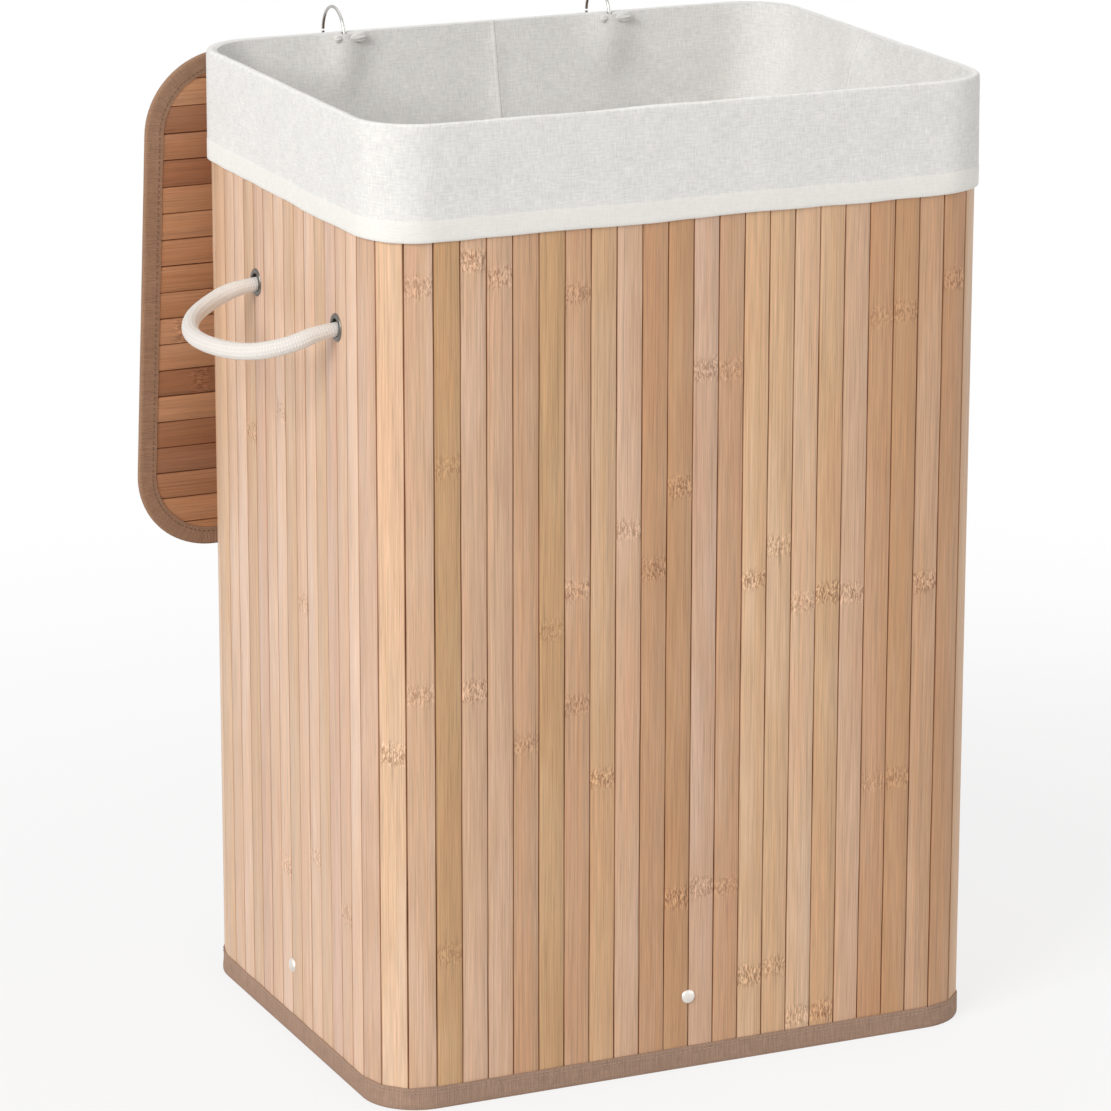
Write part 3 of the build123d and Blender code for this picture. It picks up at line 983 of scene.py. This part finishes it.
# a point on a rounded rectangle: share 0 is the middle of the back, going round by the left
def ringPoint(share, halfX, halfY, radius, plan):
    runX, runY, arc = plan
    flatX = halfX - radius
    flatY = halfY - radius
    legs = [
        (runX, 90, (0, halfY), (-flatX, halfY)),
        (arc, 90, (-flatX, flatY), None),
        (2 * runY, 180, (-halfX, flatY), (-halfX, -flatY)),
        (arc, 180, (-flatX, -flatY), None),
        (2 * runX, 270, (-flatX, -halfY), (flatX, -halfY)),
        (arc, 270, (flatX, -flatY), None),
        (2 * runY, 0, (halfX, -flatY), (halfX, flatY)),
        (arc, 0, (flatX, flatY), None),
        (runX, 90, (flatX, halfY), (0, halfY)),
    ]
    left = share * sum(leg[0] for leg in legs)
    for length, heading, start, end in legs[:-1]:
        if left <= length:
            break
        left -= length
    else:
        length, heading, start, end = legs[-1]
    part = min(left / length, 1.0)
    turn = math.radians(heading + (0 if end else 90 * part))
    normal = Vector((math.cos(turn), math.sin(turn)))
    if end:
        point = Vector(start).lerp(Vector(end), part)
    else:
        point = Vector(start) + normal * radius
    return point, normal


# rows of a sheet's profile: (inset, height, corner radius, rows to the next station)
def profileRows(stations):
    rows = []
    for here, after in zip(stations, stations[1:]):
        for step in range(here[3]):
            part = step / here[3]
            rows.append([here[i] + (after[i] - here[i]) * part for i in range(3)])
    rows.append(list(stations[-1][:3]))
    return rows, alongLine([row[:2] for row in rows])


def planOf(halfX, halfY, radius):
    return halfX - radius, halfY - radius, radius * math.pi / 2


wallPlan = planOf(halfWidth, halfDepth, corner["radius"])
wallRound = 4 * sum(wallPlan)


def wallPoint(share, inset, radius):
    return ringPoint(share, halfWidth - inset, halfDepth - inset, radius, wallPlan)


# one row of stitches: a thread grain is modelled once and laid along the row
def modelStitch(length, width, height):
    clearSelection()
    bpy.ops.mesh.primitive_uv_sphere_add(segments=6, ring_count=4, radius=0.5)
    grain = bpy.context.object
    openMesh(grain)
    bpy.ops.transform.resize(value=(length, width, height * 2))
    bpy.ops.mesh.select_all(action="SELECT")
    bpy.ops.mesh.bisect(plane_co=(0, 0, -height * 0.25), plane_no=(0, 0, 1), use_fill=True, clear_inner=True)
    closeMesh()
    smooth(grain, 70)
    return grain


def stitchRow(name, length, look, place, *settling):
    grain = modelStitch(*look["size"])
    count = round(length / look["pitch"])
    parts = []
    for index in range(count):
        point, along, out = place(index / count)
        stitched = copyOf(grain, name)
        stitched.data.transform(seatAt(point, along, out.cross(along).normalized(), out))
        parts.append(stitched)
    drop(grain)
    row = joinAll(parts, name)
    settle(row, *settling)
    return row


# tapes folded round the foot and the top edge of the wall
tape = {
    "thickness": 0.0006,
    "footHeight": 0.014,
    "topHeight": 0.007,
    "wall": 0.0022,
    "around": 300,
    "innerRadius": 0.0371,
    "lead": 0.0008,
    "bend": 0.0003,
    "footPucker": 0.00022,
    "topPucker": 0.0001,
    "drawnIn": (0.002, 0.010),
}
tapeStitch = (0.0026, 0.0006, 0.00035)
footStitches = {"size": tapeStitch, "pitch": 0.0032, "rows": (0.0126, 0.0106), "proud": 0.00062}


# how far the flat slats of a corner lie inside its round, where the tape is drawn in
def cornerDip(normal, height):
    step = math.pi / 2 / corner["count"]
    fromMiddle = math.atan2(normal.y, normal.x) % step - step / 2
    dip = corner["radius"] * (1 - math.cos(step / 2) / math.cos(fromMiddle))
    return dip * swell(height, *tape["drawnIn"])


def foldedTape(name, node, edge, openEnd, pucker):
    half = tape["thickness"] / 2
    lead = math.copysign(tape["lead"], openEnd - edge)
    outer = -half
    inner = tape["wall"] + half
    outRadius = corner["radius"] + half
    inRadius = tape["innerRadius"]
    seat = edge + math.copysign(half, openEnd - edge)
    rows, lengths = profileRows([
        (outer, openEnd, outRadius, 6),
        (outer, seat + lead, outRadius, 2),
        (outer + tape["bend"], seat, outRadius, 3),
        (inner - tape["bend"], seat, inRadius, 2),
        (inner, seat + lead, inRadius, 4),
        (inner, openEnd, inRadius, 0),
    ])

    def place(share, row):
        inset, height, radius = rows[row]
        point, normal = wallPoint(share, inset, radius)
        wave = ripple(point, 60, height * 90)
        away = pucker * max(wave, -0.3) - cornerDip(normal, height) if inset < 0 else 0.0
        lift = pucker * 1.5 * ripple(point, 45, 5) if row == 0 else 0.0
        return Vector((*(point + normal * away), height + lift))

    band = wrapGrid(name, tape["around"], place, wallRound, lengths)
    thicken(band, tape["thickness"])
    smooth(band, 50)
    settle(band, edgeTape, "hamper", "edge_tape", node)
    return band, lengths[-1]


def footRow(height):
    def place(share):
        reach = footStitches["proud"]
        point, normal = wallPoint(share, -reach, corner["radius"] + reach)
        out = Vector((*normal, 0))
        return Vector((*(point - normal * cornerDip(normal, height)), height)), up.cross(out), out

    return place


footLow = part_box("wall_bottom_tape")[0].z
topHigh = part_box("wall_top_tape")[1].z
topLow = topHigh - tape["topHeight"]
footTop = tape["footHeight"]
footTape, footWidth = foldedTape("footTape", "wall_bottom_tape", footLow, footTop, tape["footPucker"])
topTape, topWidth = foldedTape("topTape", "wall_top_tape", topHigh, topLow, tape["topPucker"])
for number, height in enumerate(footStitches["rows"], 1):
    name = f"footStitches.{number}"
    stitchRow(name, wallRound, footStitches, footRow(height), tapeThread, "hamper", "edge_tape")


# cloth tube that the wall's slats are glued to
backing = {"thickness": 0.0006, "inset": 0.0019, "radius": 0.0377, "rows": 24, "around": 240}


def wallBacking():
    inset, radius = backing["inset"], backing["radius"]
    rows, lengths = profileRows([
        (inset, slatFoot, radius, backing["rows"]),
        (inset, slatFoot + slatLength, radius, 0),
    ])

    def place(share, row):
        point, normal = wallPoint(share, inset, radius)
        return Vector((*point, rows[row][1]))

    tube = wrapGrid("wallBacking", backing["around"], place, wallRound, lengths)
    thicken(tube, backing["thickness"])
    for name, direction in (("left", toRight), ("right", toRight), ("back", toBack)):
        for spot, boreRadius in holes[name]:
            bore(tube, spot, direction, boreRadius)
    smooth(tube, 40)
    settle(tube, backingCloth, "hamper", "backing_cloth", "wall_backing")


wallBacking()
print("tapes sewn, backing glued")


# liner: hem, cuff, crisp fold over the rim, slack bag and its floor
liner = {
    "thickness": 0.0006,
    "around": 420,
    "rim": 0.5996,
    "foot": 0.5313,
    "hem": 0.0124,
    "cuffOut": 0.0014,
    "flare": 0.0003,
    "wave": 0.0009,
    "sag": 0.0011,
    "fineSag": 0.0004,
    "mouth": 0.0036,
    "mouthSag": 0.0006,
    "waist": 0.0180,
    "waistHeight": 0.495,
    "floor": 0.0264,
    "slack": 0.0066,
    "slackReach": (0.003, 0.09),
    # pace, shear, rise, layer and share of broad folds, pleats and creases
    "folds": ((9, 0, 5, 0, 0.5), (26, 0, 2.2, 7, 0.35), (14, 20, 24, 0, 0.18)),
    "seamPinch": 0.0012,
    "seamReach": 0.0040,
    "sideSeam": 0.0200,
    "sidePinch": 0.0042,
    "sideReach": 0.0180,
    "cover": 0.0058,
    "coverReach": 0.0130,
    "coverRise": (0.552, 0.588),
    "cuffSlit": ((0.0034, 0.006, 0.014), (0.1525, 0.5812)),
    "rimSlit": ((0.0032, 0.0052, 0.0060), (0.1442, 0.5995)),
    "cut": (1.35, 0.80),
    "area": 0.905,
}


def linerRows():
    out = -liner["cuffOut"]
    rim, foot, mouth = liner["rim"], liner["foot"], liner["mouth"]
    waist, floor = liner["waist"], liner["floor"]
    radius = corner["radius"] + liner["cuffOut"]
    return profileRows([
        (-0.0005, foot + liner["hem"], radius - 0.0009, 4),
        (-0.0006, foot + 0.0006, radius - 0.0008, 2),
        (-0.0011, foot, radius - 0.0004, 2),
        (out - 0.0002, foot + 0.0006, radius, 6),
        (out - 0.0002, foot + liner["hem"] - 0.0004, radius, 1),
        (out, foot + liner["hem"] + 0.0004, radius, 14),
        (out, rim - 0.0050, radius, 3),
        (out + 0.0002, rim - 0.0012, radius, 2),
        (out + 0.0009, rim - 0.0001, radius, 2),
        (out + 0.0024, rim, 0.0355, 2),
        (mouth - 0.0004, rim - 0.0005, 0.0365, 2),
        (mouth, rim - 0.0035, 0.0365, 22),
        (waist, liner["waistHeight"], 0.028, 34),
        (waist, floor + 0.006, 0.028, 3),
        (waist + 0.006, floor, 0.024, 14),
        (halfDepth - 0.012, floor, 0.010, 0),
    ])


# the cuff hangs freest at its hem: how low a point is, its wave outwards and its sag
def cuffWaves(point, height):
    low = swell(height, liner["rim"] - 0.01, liner["foot"])
    wave = max(ripple(point, 16, height * 12), -0.35)
    return low, low * liner["wave"] * wave, low * liner["sag"] * ripple(point, 13, 2)


def slackBag(point, height):
    depth = swell(liner["rim"] - height, *liner["slackReach"])
    fullness = 0.5
    for pace, shear, rise, layer, share in liner["folds"]:
        spot = Vector((point.x * pace + height * shear, point.y * pace, height * rise + layer))
        fullness += share * noise.noise(spot)
    return depth * liner["slack"] * fullness


# the bag runs over each ring inside the rim, as a soft bulge
def ringCover(point, inset, height):
    if point.y < 0.1:
        return 0.0
    bulge = sum(bell(point.x - x, liner["coverReach"]) for x in rings["spots"])
    return liner["cover"] * bulge * swell(height, *liner["coverRise"]) * swell(inset, 0.0008, 0.0032)


# the bag's two seams: a narrow ridge at the back, a pulled one on the right
def seamRidge(point):
    if point.y > 0.1:
        return liner["seamPinch"] * bell(point.x, liner["seamReach"])
    if point.x > 0.15:
        return liner["sidePinch"] * bell(point.y - liner["sideSeam"], liner["sideReach"])
    return 0.0


def linerSheet():
    rows, lengths = linerRows()
    cuffEnd = next(index for index, row in enumerate(rows) if row[0] > 0)

    def place(share, row):
        inset, height, radius = rows[row]
        point, normal = wallPoint(share, inset, radius)
        if row < cuffEnd:
            low, away, sag = cuffWaves(point, height)
            away += low * liner["flare"]
            height += sag + low * liner["fineSag"] * ripple(point, 48, 9)
        else:
            away = -slackBag(point, height)
            away -= seamRidge(point) * swell(liner["rim"] - height, 0.0, 0.02)
            away -= ringCover(point, inset, height)
            height += liner["mouthSag"] * ripple(point, 20, 4)
        return Vector((*(point + normal * away), height))

    bag = wrapGrid("linerBag", liner["around"], place, wallRound, lengths)
    openMesh(bag)
    pickEdges(bag, lambda edge: edge.is_boundary and edge.verts[0].co.z < 0.1)
    bpy.ops.mesh.edge_face_add()
    bpy.ops.mesh.poke()
    closeMesh()
    thicken(bag, liner["thickness"])
    for size, spot in (liner["cuffSlit"], liner["rimSlit"]):
        for x in rings["spots"]:
            slit = cubeAt(size, (x, *spot))
            carve(bag, slit)
            drop(slit)
    smooth(bag, 60)
    hemTop = next(length for row, length in zip(rows, lengths) if row[0] < -0.0012)
    cloth = linerCotton(
        hemTop - 0.002, hemTop + liner["hem"], lengths[cuffEnd],
        wallRound, wallRound * 0.75 + liner["sideSeam"],
    )
    settle(bag, cloth, "hamper", "liner_cotton", "liner")
    return bag, cloth


hemStitches = {"size": (0.0024, 0.0005, 0.0003), "height": 0.0111, "proud": 0.00195, "pitch": 0.0034}


def hemPlace(share):
    reach = hemStitches["proud"]
    point, normal = wallPoint(share, -reach, corner["radius"] + reach)
    height = liner["foot"] + hemStitches["height"]
    low, away, sag = cuffWaves(point - normal * (reach - liner["cuffOut"]), height)
    out = Vector((*normal, 0))
    return Vector((*(point + normal * away), height + sag)), up.cross(out), out


# gathers at the rim where the liner is tied beside each ring
tie = {
    "lobes": [(0.0082, 0.0062, 0.0042), (-0.0046, 0.0028, 0.0034)],
    "depth": 0.0032,
    "middle": (0.1416, 0.5966),
    "pleats": 7,
    "pleatDepth": 0.16,
    "pinch": 0.55,
}


def tieLobe(x, offset, halfLength, halfHeight):
    y, z = tie["middle"]

    def place(spot):
        turn = math.atan2(spot.z, spot.y)
        flare = 0.5 + 0.5 * math.copysign(1, offset) * spot.x
        pleat = 1 - tie["pleatDepth"] * flare * (1 + math.cos(tie["pleats"] * turn + 2 * spot.x))
        full = pleat * (tie["pinch"] + (1 - tie["pinch"]) * flare)
        across = x + offset + spot.x * halfLength
        return across, y + spot.y * tie["depth"] * full, z + spot.z * halfHeight * full

    return shapedBall(40, 24, place)


linerBag, linerCloth = linerSheet()
lobes = [tieLobe(x, *lobe) for x in rings["spots"] for lobe in tie["lobes"]]
tiedCloth = softGroup(lobes, "linerTies", linerCloth, "hamper", "liner_cotton")
hemName = "linerHemStitches"
hemRow = stitchRow(hemName, wallRound, hemStitches, hemPlace, hemThread, "hamper", "liner_cotton")
print("liner hung")


# turned metal pieces: a closed outline is spun round its axis
def turned(outline, steps=48, angle=2 * math.pi):
    clearSelection()
    bpy.ops.mesh.primitive_circle_add(vertices=len(outline), radius=1)
    piece = bpy.context.object
    for vertex, (radius, height) in zip(piece.data.vertices, outline):
        vertex.co = (radius, 0, height)
    openMesh(piece)
    bpy.ops.mesh.spin(steps=steps, angle=angle, center=(0, 0, 0), axis=(0, 0, 1))
    closeMesh()
    mergeSeam(piece, 0.000002)
    capEnds(piece)
    smooth(piece, 50)
    return piece


def seatedCopies(model, name, seats, *settling):
    parts = []
    for spot, outward in seats:
        twin = copyOf(model, name)
        seat = outward.to_track_quat("Z", "Y").to_matrix().to_4x4()
        seat.translation = spot
        twin.data.transform(seat)
        parts.append(twin)
    drop(model)
    settle(joinAll(parts, name), *settling)


def eyeletOutline(hole, rise, grip):
    rim = eyelet["flange"]
    wall = hole + eyelet["wall"]
    return [
        (hole, -grip),
        (hole, rise * 0.35),
        (hole + 0.00025, rise * 0.75),
        (hole + 0.0008, rise),
        (rim - 0.0014, rise * 0.97),
        (rim - 0.0006, rise * 0.72),
        (rim - 0.0001, rise * 0.35),
        (rim, 0.0),
        (wall, 0.0),
        (wall, -grip),
    ]


# lid, as it hangs: a seat turns its flat drawing into place
lid = {
    "depth": 0.330,
    "corner": 0.052,
    "slatCount": 19,
    "tapeWidth": 0.012,
    "tapeThickness": 0.0005,
    "stack": 0.0022,
    "hang": math.radians(6.5),
    "eyeletInset": 0.0155,
    "around": 360,
    "joints": {8: (0.028, 0.290), 6: (0.040, 0.330), 14: (0.052,)},
    "jointMargins": (0.08, 0.02),
    "blockHeight": 0.02,
    "backingGrid": (48, 6),
    "valley": (0.00012, 0.09),
    "roundShare": 0.984,
    "tapeWaver": 0.0003,
    "tapePucker": 0.00018,
}
lidLow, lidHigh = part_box("lid_tape")
lidCentre = (lidLow + lidHigh) / 2
lidWidth = lidHigh.x - lidLow.x
lidFace = Vector((0, -math.cos(lid["hang"]), -math.sin(lid["hang"])))
lidUp = Vector((0, -math.sin(lid["hang"]), math.cos(lid["hang"])))
lidSeat = seatAt(lidCentre, toRight, lidUp, lidFace)
lidPlan = planOf(lidWidth / 2, lid["depth"] / 2, lid["corner"])
lidRound = 4 * sum(lidPlan)
lidTop = lid["stack"] / 2 + lid["tapeThickness"]
ringSpots = [(x - lidCentre.x, lid["depth"] / 2 - lid["eyeletInset"]) for x in rings["spots"]]

wallGrip = backing["thickness"] + slats["thickness"]
ropeSeats = [(spot, walls[name][0]) for name in ("left", "right") for spot, radius in holes[name]]
backSeats = [(spot, toBack) for spot, radius in holes["back"]]
lidSeats = [(lidSeat @ Vector((x, y, lidTop)), lidFace) for x, y in ringSpots]
for name, kind, grip, seats, body, node in (
    ("ropeEyelets", "rope", wallGrip, ropeSeats, "hamper", "handle_eyelets"),
    ("ringEyelets", "ring", wallGrip, backSeats, "hamper", "ring_eyelets"),
    ("lidEyelets", "ring", 2 * lidTop, lidSeats, "lid", "lid_eyelets"),
):
    model = turned(eyeletOutline(eyelet[kind + "Hole"], eyelet[kind + "Rise"], grip))
    seatedCopies(model, name, seats, darkNickel, body, "eyelet_metal", node)

rivet = {"height": 0.046, "radius": 0.0045, "rise": 0.0018, "shank": 0.0017, "grip": 0.0040}


def rivetOutline():
    dome = []
    for step in range(7):
        turn = math.radians(15 * step)
        dome.append((rivet["radius"] * math.sin(turn), rivet["rise"] * math.cos(turn)))
    return [*dome, (rivet["shank"], 0.0), (rivet["shank"], -rivet["grip"]), (0.0, -rivet["grip"])]


def ringOutline(radius, sides=14):
    outline = []
    for step in range(sides):
        turn = 2 * math.pi * step / sides
        outline.append((radius + rings["wire"] * math.cos(turn), rings["wire"] * math.sin(turn)))
    return outline


rivetSeats = [(outward * reach + up * rivet["height"], outward) for outward, reach, span in walls.values()]
rivetModel = turned(rivetOutline(), 36)
seatedCopies(rivetModel, "baseRivets", rivetSeats, rivetSatin, "hamper", "rivet_metal", "base_rivets")
hinge = next(joint for joint in frame["joints"] if joint["name"] == "lid_swing")
ringLow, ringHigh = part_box("hinge_rings")
ringRadius = (ringHigh.z - ringLow.z) / 2 - rings["wire"]
ringSeats = [(Vector((x, *hinge["pos_m"][1:])), toRight) for x in rings["spots"]]
ringModel = turned(ringOutline(ringRadius), 90, math.radians(360 - rings["gapDegrees"]))
seatedCopies(ringModel, "hingeRings", ringSeats, ringWire, "lid", "ring_wire", "hinge_rings")
print("metal seated")


# lid: slats across its width, cloth under them, bias tape round the edge
def lidOutlineBlock():
    inset, height = lid["tapeThickness"], lid["blockHeight"]
    block = cubeAt((lidWidth - 2 * inset, lid["depth"] - 2 * inset, height))
    openMesh(block)
    pickEdges(block, lambda edge: abs(edge.verts[0].co.z - edge.verts[1].co.z) > height / 2)
    bpy.ops.mesh.bevel(offset=lid["corner"] - inset, segments=20, affect="EDGES")
    closeMesh()
    return block


def lidPoint(share, inset):
    return ringPoint(share, lidWidth / 2 - inset, lid["depth"] / 2 - inset, lid["corner"] - inset, lidPlan)


# a flat piece is hung in place and bored where the rings pass within its reach
def hangOnLid(piece, middle=0.0, reach=1.0):
    piece.data.transform(lidSeat)
    for x, y in ringSpots:
        if abs(y - middle) < reach + ringBore:
            bore(piece, lidSeat @ Vector((x, y, 0)), lidFace, ringBore)


def lidSlats():
    count = lid["slatCount"]
    pitch = lid["depth"] / count
    length = lidWidth - 2 * lid["tapeThickness"]
    foot = lidCentre.x - length / 2
    offsets = [(index - (count - 1) / 2) * pitch for index in range(count)]
    seats = [seatAt((-length / 2, offset, lid["stack"] / 2), toBack, up, toRight) for offset in offsets]
    strip = modelStrip(pitch - slats["gap"], length)
    block = lidOutlineBlock()
    first, spare = lid["jointMargins"]

    def jointsOf(index):
        return lid["joints"].get(index) or randomJoints(first, length - spare)

    def toneOf(index):
        return lidTones[dice.choice(list(lidTones))]

    def trim(slat, index):
        carve(slat, block, "INTERSECT")
        hangOnLid(slat, offsets[index], pitch / 2)

    panel = slatPanel("lidSlats", strip, foot, seats, jointsOf, toneOf, trim)
    drop(block)
    settle(panel, lidBamboo, "lid", "lid_bamboo", "lid_slats")


def lidBacking():
    pitch = lid["depth"] / lid["slatCount"]
    width = lidWidth - 2 * lid["tapeThickness"]
    depth = lid["depth"] - 2 * lid["tapeThickness"]
    columns, steps = lid["backingGrid"]
    rows = lid["slatCount"] * steps
    lengths = [depth * row / rows for row in range(rows + 1)]
    middle = -lid["stack"] / 2 + backing["thickness"] / 2
    valleyDepth, valleyReach = lid["valley"]

    def place(share, row):
        y = depth * (row / rows - 0.5)
        phase = (y / pitch + 0.5) % 1.0
        valley = bell(min(phase, 1 - phase), valleyReach)
        return Vector((width * (share - 0.5), y, middle + valleyDepth * valley))

    sheet = wrapGrid("lidBacking", columns, place, width, lengths)
    thicken(sheet, backing["thickness"])
    block = lidOutlineBlock()
    carve(sheet, block, "INTERSECT")
    drop(block)
    hangOnLid(sheet)
    smooth(sheet, 40)
    settle(sheet, backingCloth, "lid", "backing_cloth", "lid_backing")


def lidTape():
    face = lid["stack"] / 2 + lid["tapeThickness"] / 2
    rim = lid["tapeThickness"] / 2
    rows, lengths = profileRows([
        (lid["tapeWidth"], face, 0, 8),
        (rim + 0.0010, face, 0, 2),
        (rim + 0.0002, face - 0.0006, 0, 1),
        (rim, 0.0, 0, 1),
        (rim + 0.0002, 0.0006 - face, 0, 2),
        (rim + 0.0010, -face, 0, 8),
        (lid["tapeWidth"], -face, 0, 0),
    ])

    def place(share, row):
        inset, height, _ = rows[row]
        point, normal = lidPoint(share, inset)
        away = swell(inset, 0.003, lid["tapeWidth"]) * lid["tapeWaver"] * ripple(point, 60, 1)
        lift = lid["tapePucker"] * max(ripple(point, 70, height * 500), -0.2)
        return Vector((*(point + normal * away), height + math.copysign(lift, height)))

    band = wrapGrid("lidTape", lid["around"], place, lidRound, lengths)
    thicken(band, lid["tapeThickness"])
    hangOnLid(band)
    smooth(band, 50)
    settle(band, lidEdging, "lid", "edge_tape", "lid_tape")


lidStitches = {"size": tapeStitch, "pitch": 0.0038, "inset": 0.0094, "proud": 0.0001}


def lidRow(face):
    def place(share):
        point, normal = lidPoint(share, lidStitches["inset"])
        along = Vector((-normal.y, normal.x, 0))
        spot = lidSeat @ Vector((*point, face * (lidTop + lidStitches["proud"])))
        return spot, lidSeat.to_3x3() @ along, lidSeat.to_3x3() @ Vector((0, 0, face))

    return place


lidSlats()
lidBacking()
lidTape()
for face, side in ((1, "top"), (-1, "under")):
    stitchRow(f"lidStitches.{side}", lidRound, lidStitches, lidRow(face), lidThread, "lid", "edge_tape")
print("lid made")


# cloth tabs that tie the base board to the walls
tab = {
    "width": 0.036,
    "thickness": 0.0010,
    "reach": 0.034,
    "top": 0.060,
    "under": 0.0155,
    "bend": 0.0012,
    "columns": 12,
}


def baseTabs():
    middle = wallGrip + tab["thickness"] / 2
    rows, lengths = profileRows([
        (wallGrip + tab["thickness"] + tab["reach"], tab["under"], 0, 10),
        (middle + tab["bend"], tab["under"], 0, 3),
        (middle, tab["under"] + tab["bend"], 0, 12),
        (middle, tab["top"], 0, 0),
    ])

    def place(share, row):
        inset, height, _ = rows[row]
        return Vector(((share - 0.5) * tab["width"], -inset, height))

    strip = wrapGrid("baseTab", tab["columns"], place, tab["width"], lengths)
    thicken(strip, tab["thickness"])
    smooth(strip, 40)
    for name, (outward, reach, span) in walls.items():
        twin = copyOf(strip, f"baseTab.{name}")
        twin.data.transform(facing(outward * reach, outward))
        settle(twin, backingCloth, "hamper", "backing_cloth", "base_tabs")
    drop(strip)


baseTabs()
dress(frame["nodes"]["base_board"], boardFibre)
dress(frame["nodes"]["base_rivet_washers"], rivetSatin)
for node in ("handle_eyelet_washers", "ring_eyelet_washers", "lid_eyelet_washers"):
    dress(frame["nodes"][node], darkNickel)
print("base tied")


# studio: pale floor that keeps the shadow, white surround, soft boxes
studio = {
    "floorSize": 14,
    "floorTone": shade(236, 236, 236),
    "floorGlow": (0.76, 0.24),
    "glowReach": (0.35, 1.3),
    "ambient": 0.42,
    "boxes": [
        {"place": (-6.1, -3.45, 4.2), "aim": (0, 0, 0.35), "size": 4.2, "power": 450},
        {"place": (2.4, -2.4, 1.3), "aim": (0, 0, 0.3), "size": 2.0, "power": 9},
        {"place": (3.2, -0.4, 1.4), "aim": (0, 0, 0.35), "size": 2.2, "power": 15},
        {"place": (0.2, 0.6, 2.6), "aim": (0, 0, 0.4), "size": 1.8, "power": 8},
    ],
}


def seenDirectly(paint):
    camera, glossy, through = paint.node("LightPath", out=(0, 3, 6))
    return (camera + glossy + through).least(1.0)


def layFloor():
    clearSelection()
    bpy.ops.mesh.primitive_plane_add(size=studio["floorSize"], location=(0, 0, 0))
    floor = bpy.context.object
    floor.name = "floor"
    material, paint, shader = newMaterial("paleFloor")
    paint.feed(shader, {"Base Color": studio["floorTone"], "Roughness": 0.9, "Specular IOR Level": 0.1})
    glow = paint.node("Emission", None, {"Strength": 1.0})
    away = paint.node("VectorMath", {"operation": "LENGTH"}, {0: objectPlace(paint)}, 1)
    nearGlow, farGlow = studio["floorGlow"]
    share = seenDirectly(paint) * (nearGlow + away.ease(*studio["glowReach"]) * farGlow)
    body = Wire(material.node_tree, shader.outputs[0])
    mixed = paint.node("MixShader", None, {0: share, 1: body, 2: glow})
    paint.feed(material.node_tree.nodes["Material Output"], {"Surface": mixed})
    dress(floor, material)


def lightStudio():
    world = bpy.data.worlds.new("studio")
    world.use_nodes = True
    world.node_tree.nodes.clear()
    bpy.context.scene.world = world
    sky = Wire(world.node_tree)
    soft = sky.node("Background", None, {"Color": (1, 1, 1, 1), "Strength": studio["ambient"]})
    white = sky.node("Background", None, {"Color": (1, 1, 1, 1), "Strength": 1.0})
    both = sky.node("MixShader", None, {0: seenDirectly(sky), 1: soft, 2: white})
    sky.feed(world.node_tree.nodes.new("ShaderNodeOutputWorld"), {"Surface": both})
    for box in studio["boxes"]:
        place, aim = Vector(box["place"]), Vector(box["aim"])
        bpy.ops.object.light_add(type="AREA", location=place)
        lamp = bpy.context.object
        lamp.rotation_euler = (aim - place).to_track_quat("-Z", "Y").to_euler()
        lamp.data.shape = "SQUARE"
        lamp.data.size = box["size"]
        lamp.data.energy = box["power"]


layFloor()
lightStudio()
bpy.context.scene.view_settings.view_transform = "Standard"
print("studio lit")
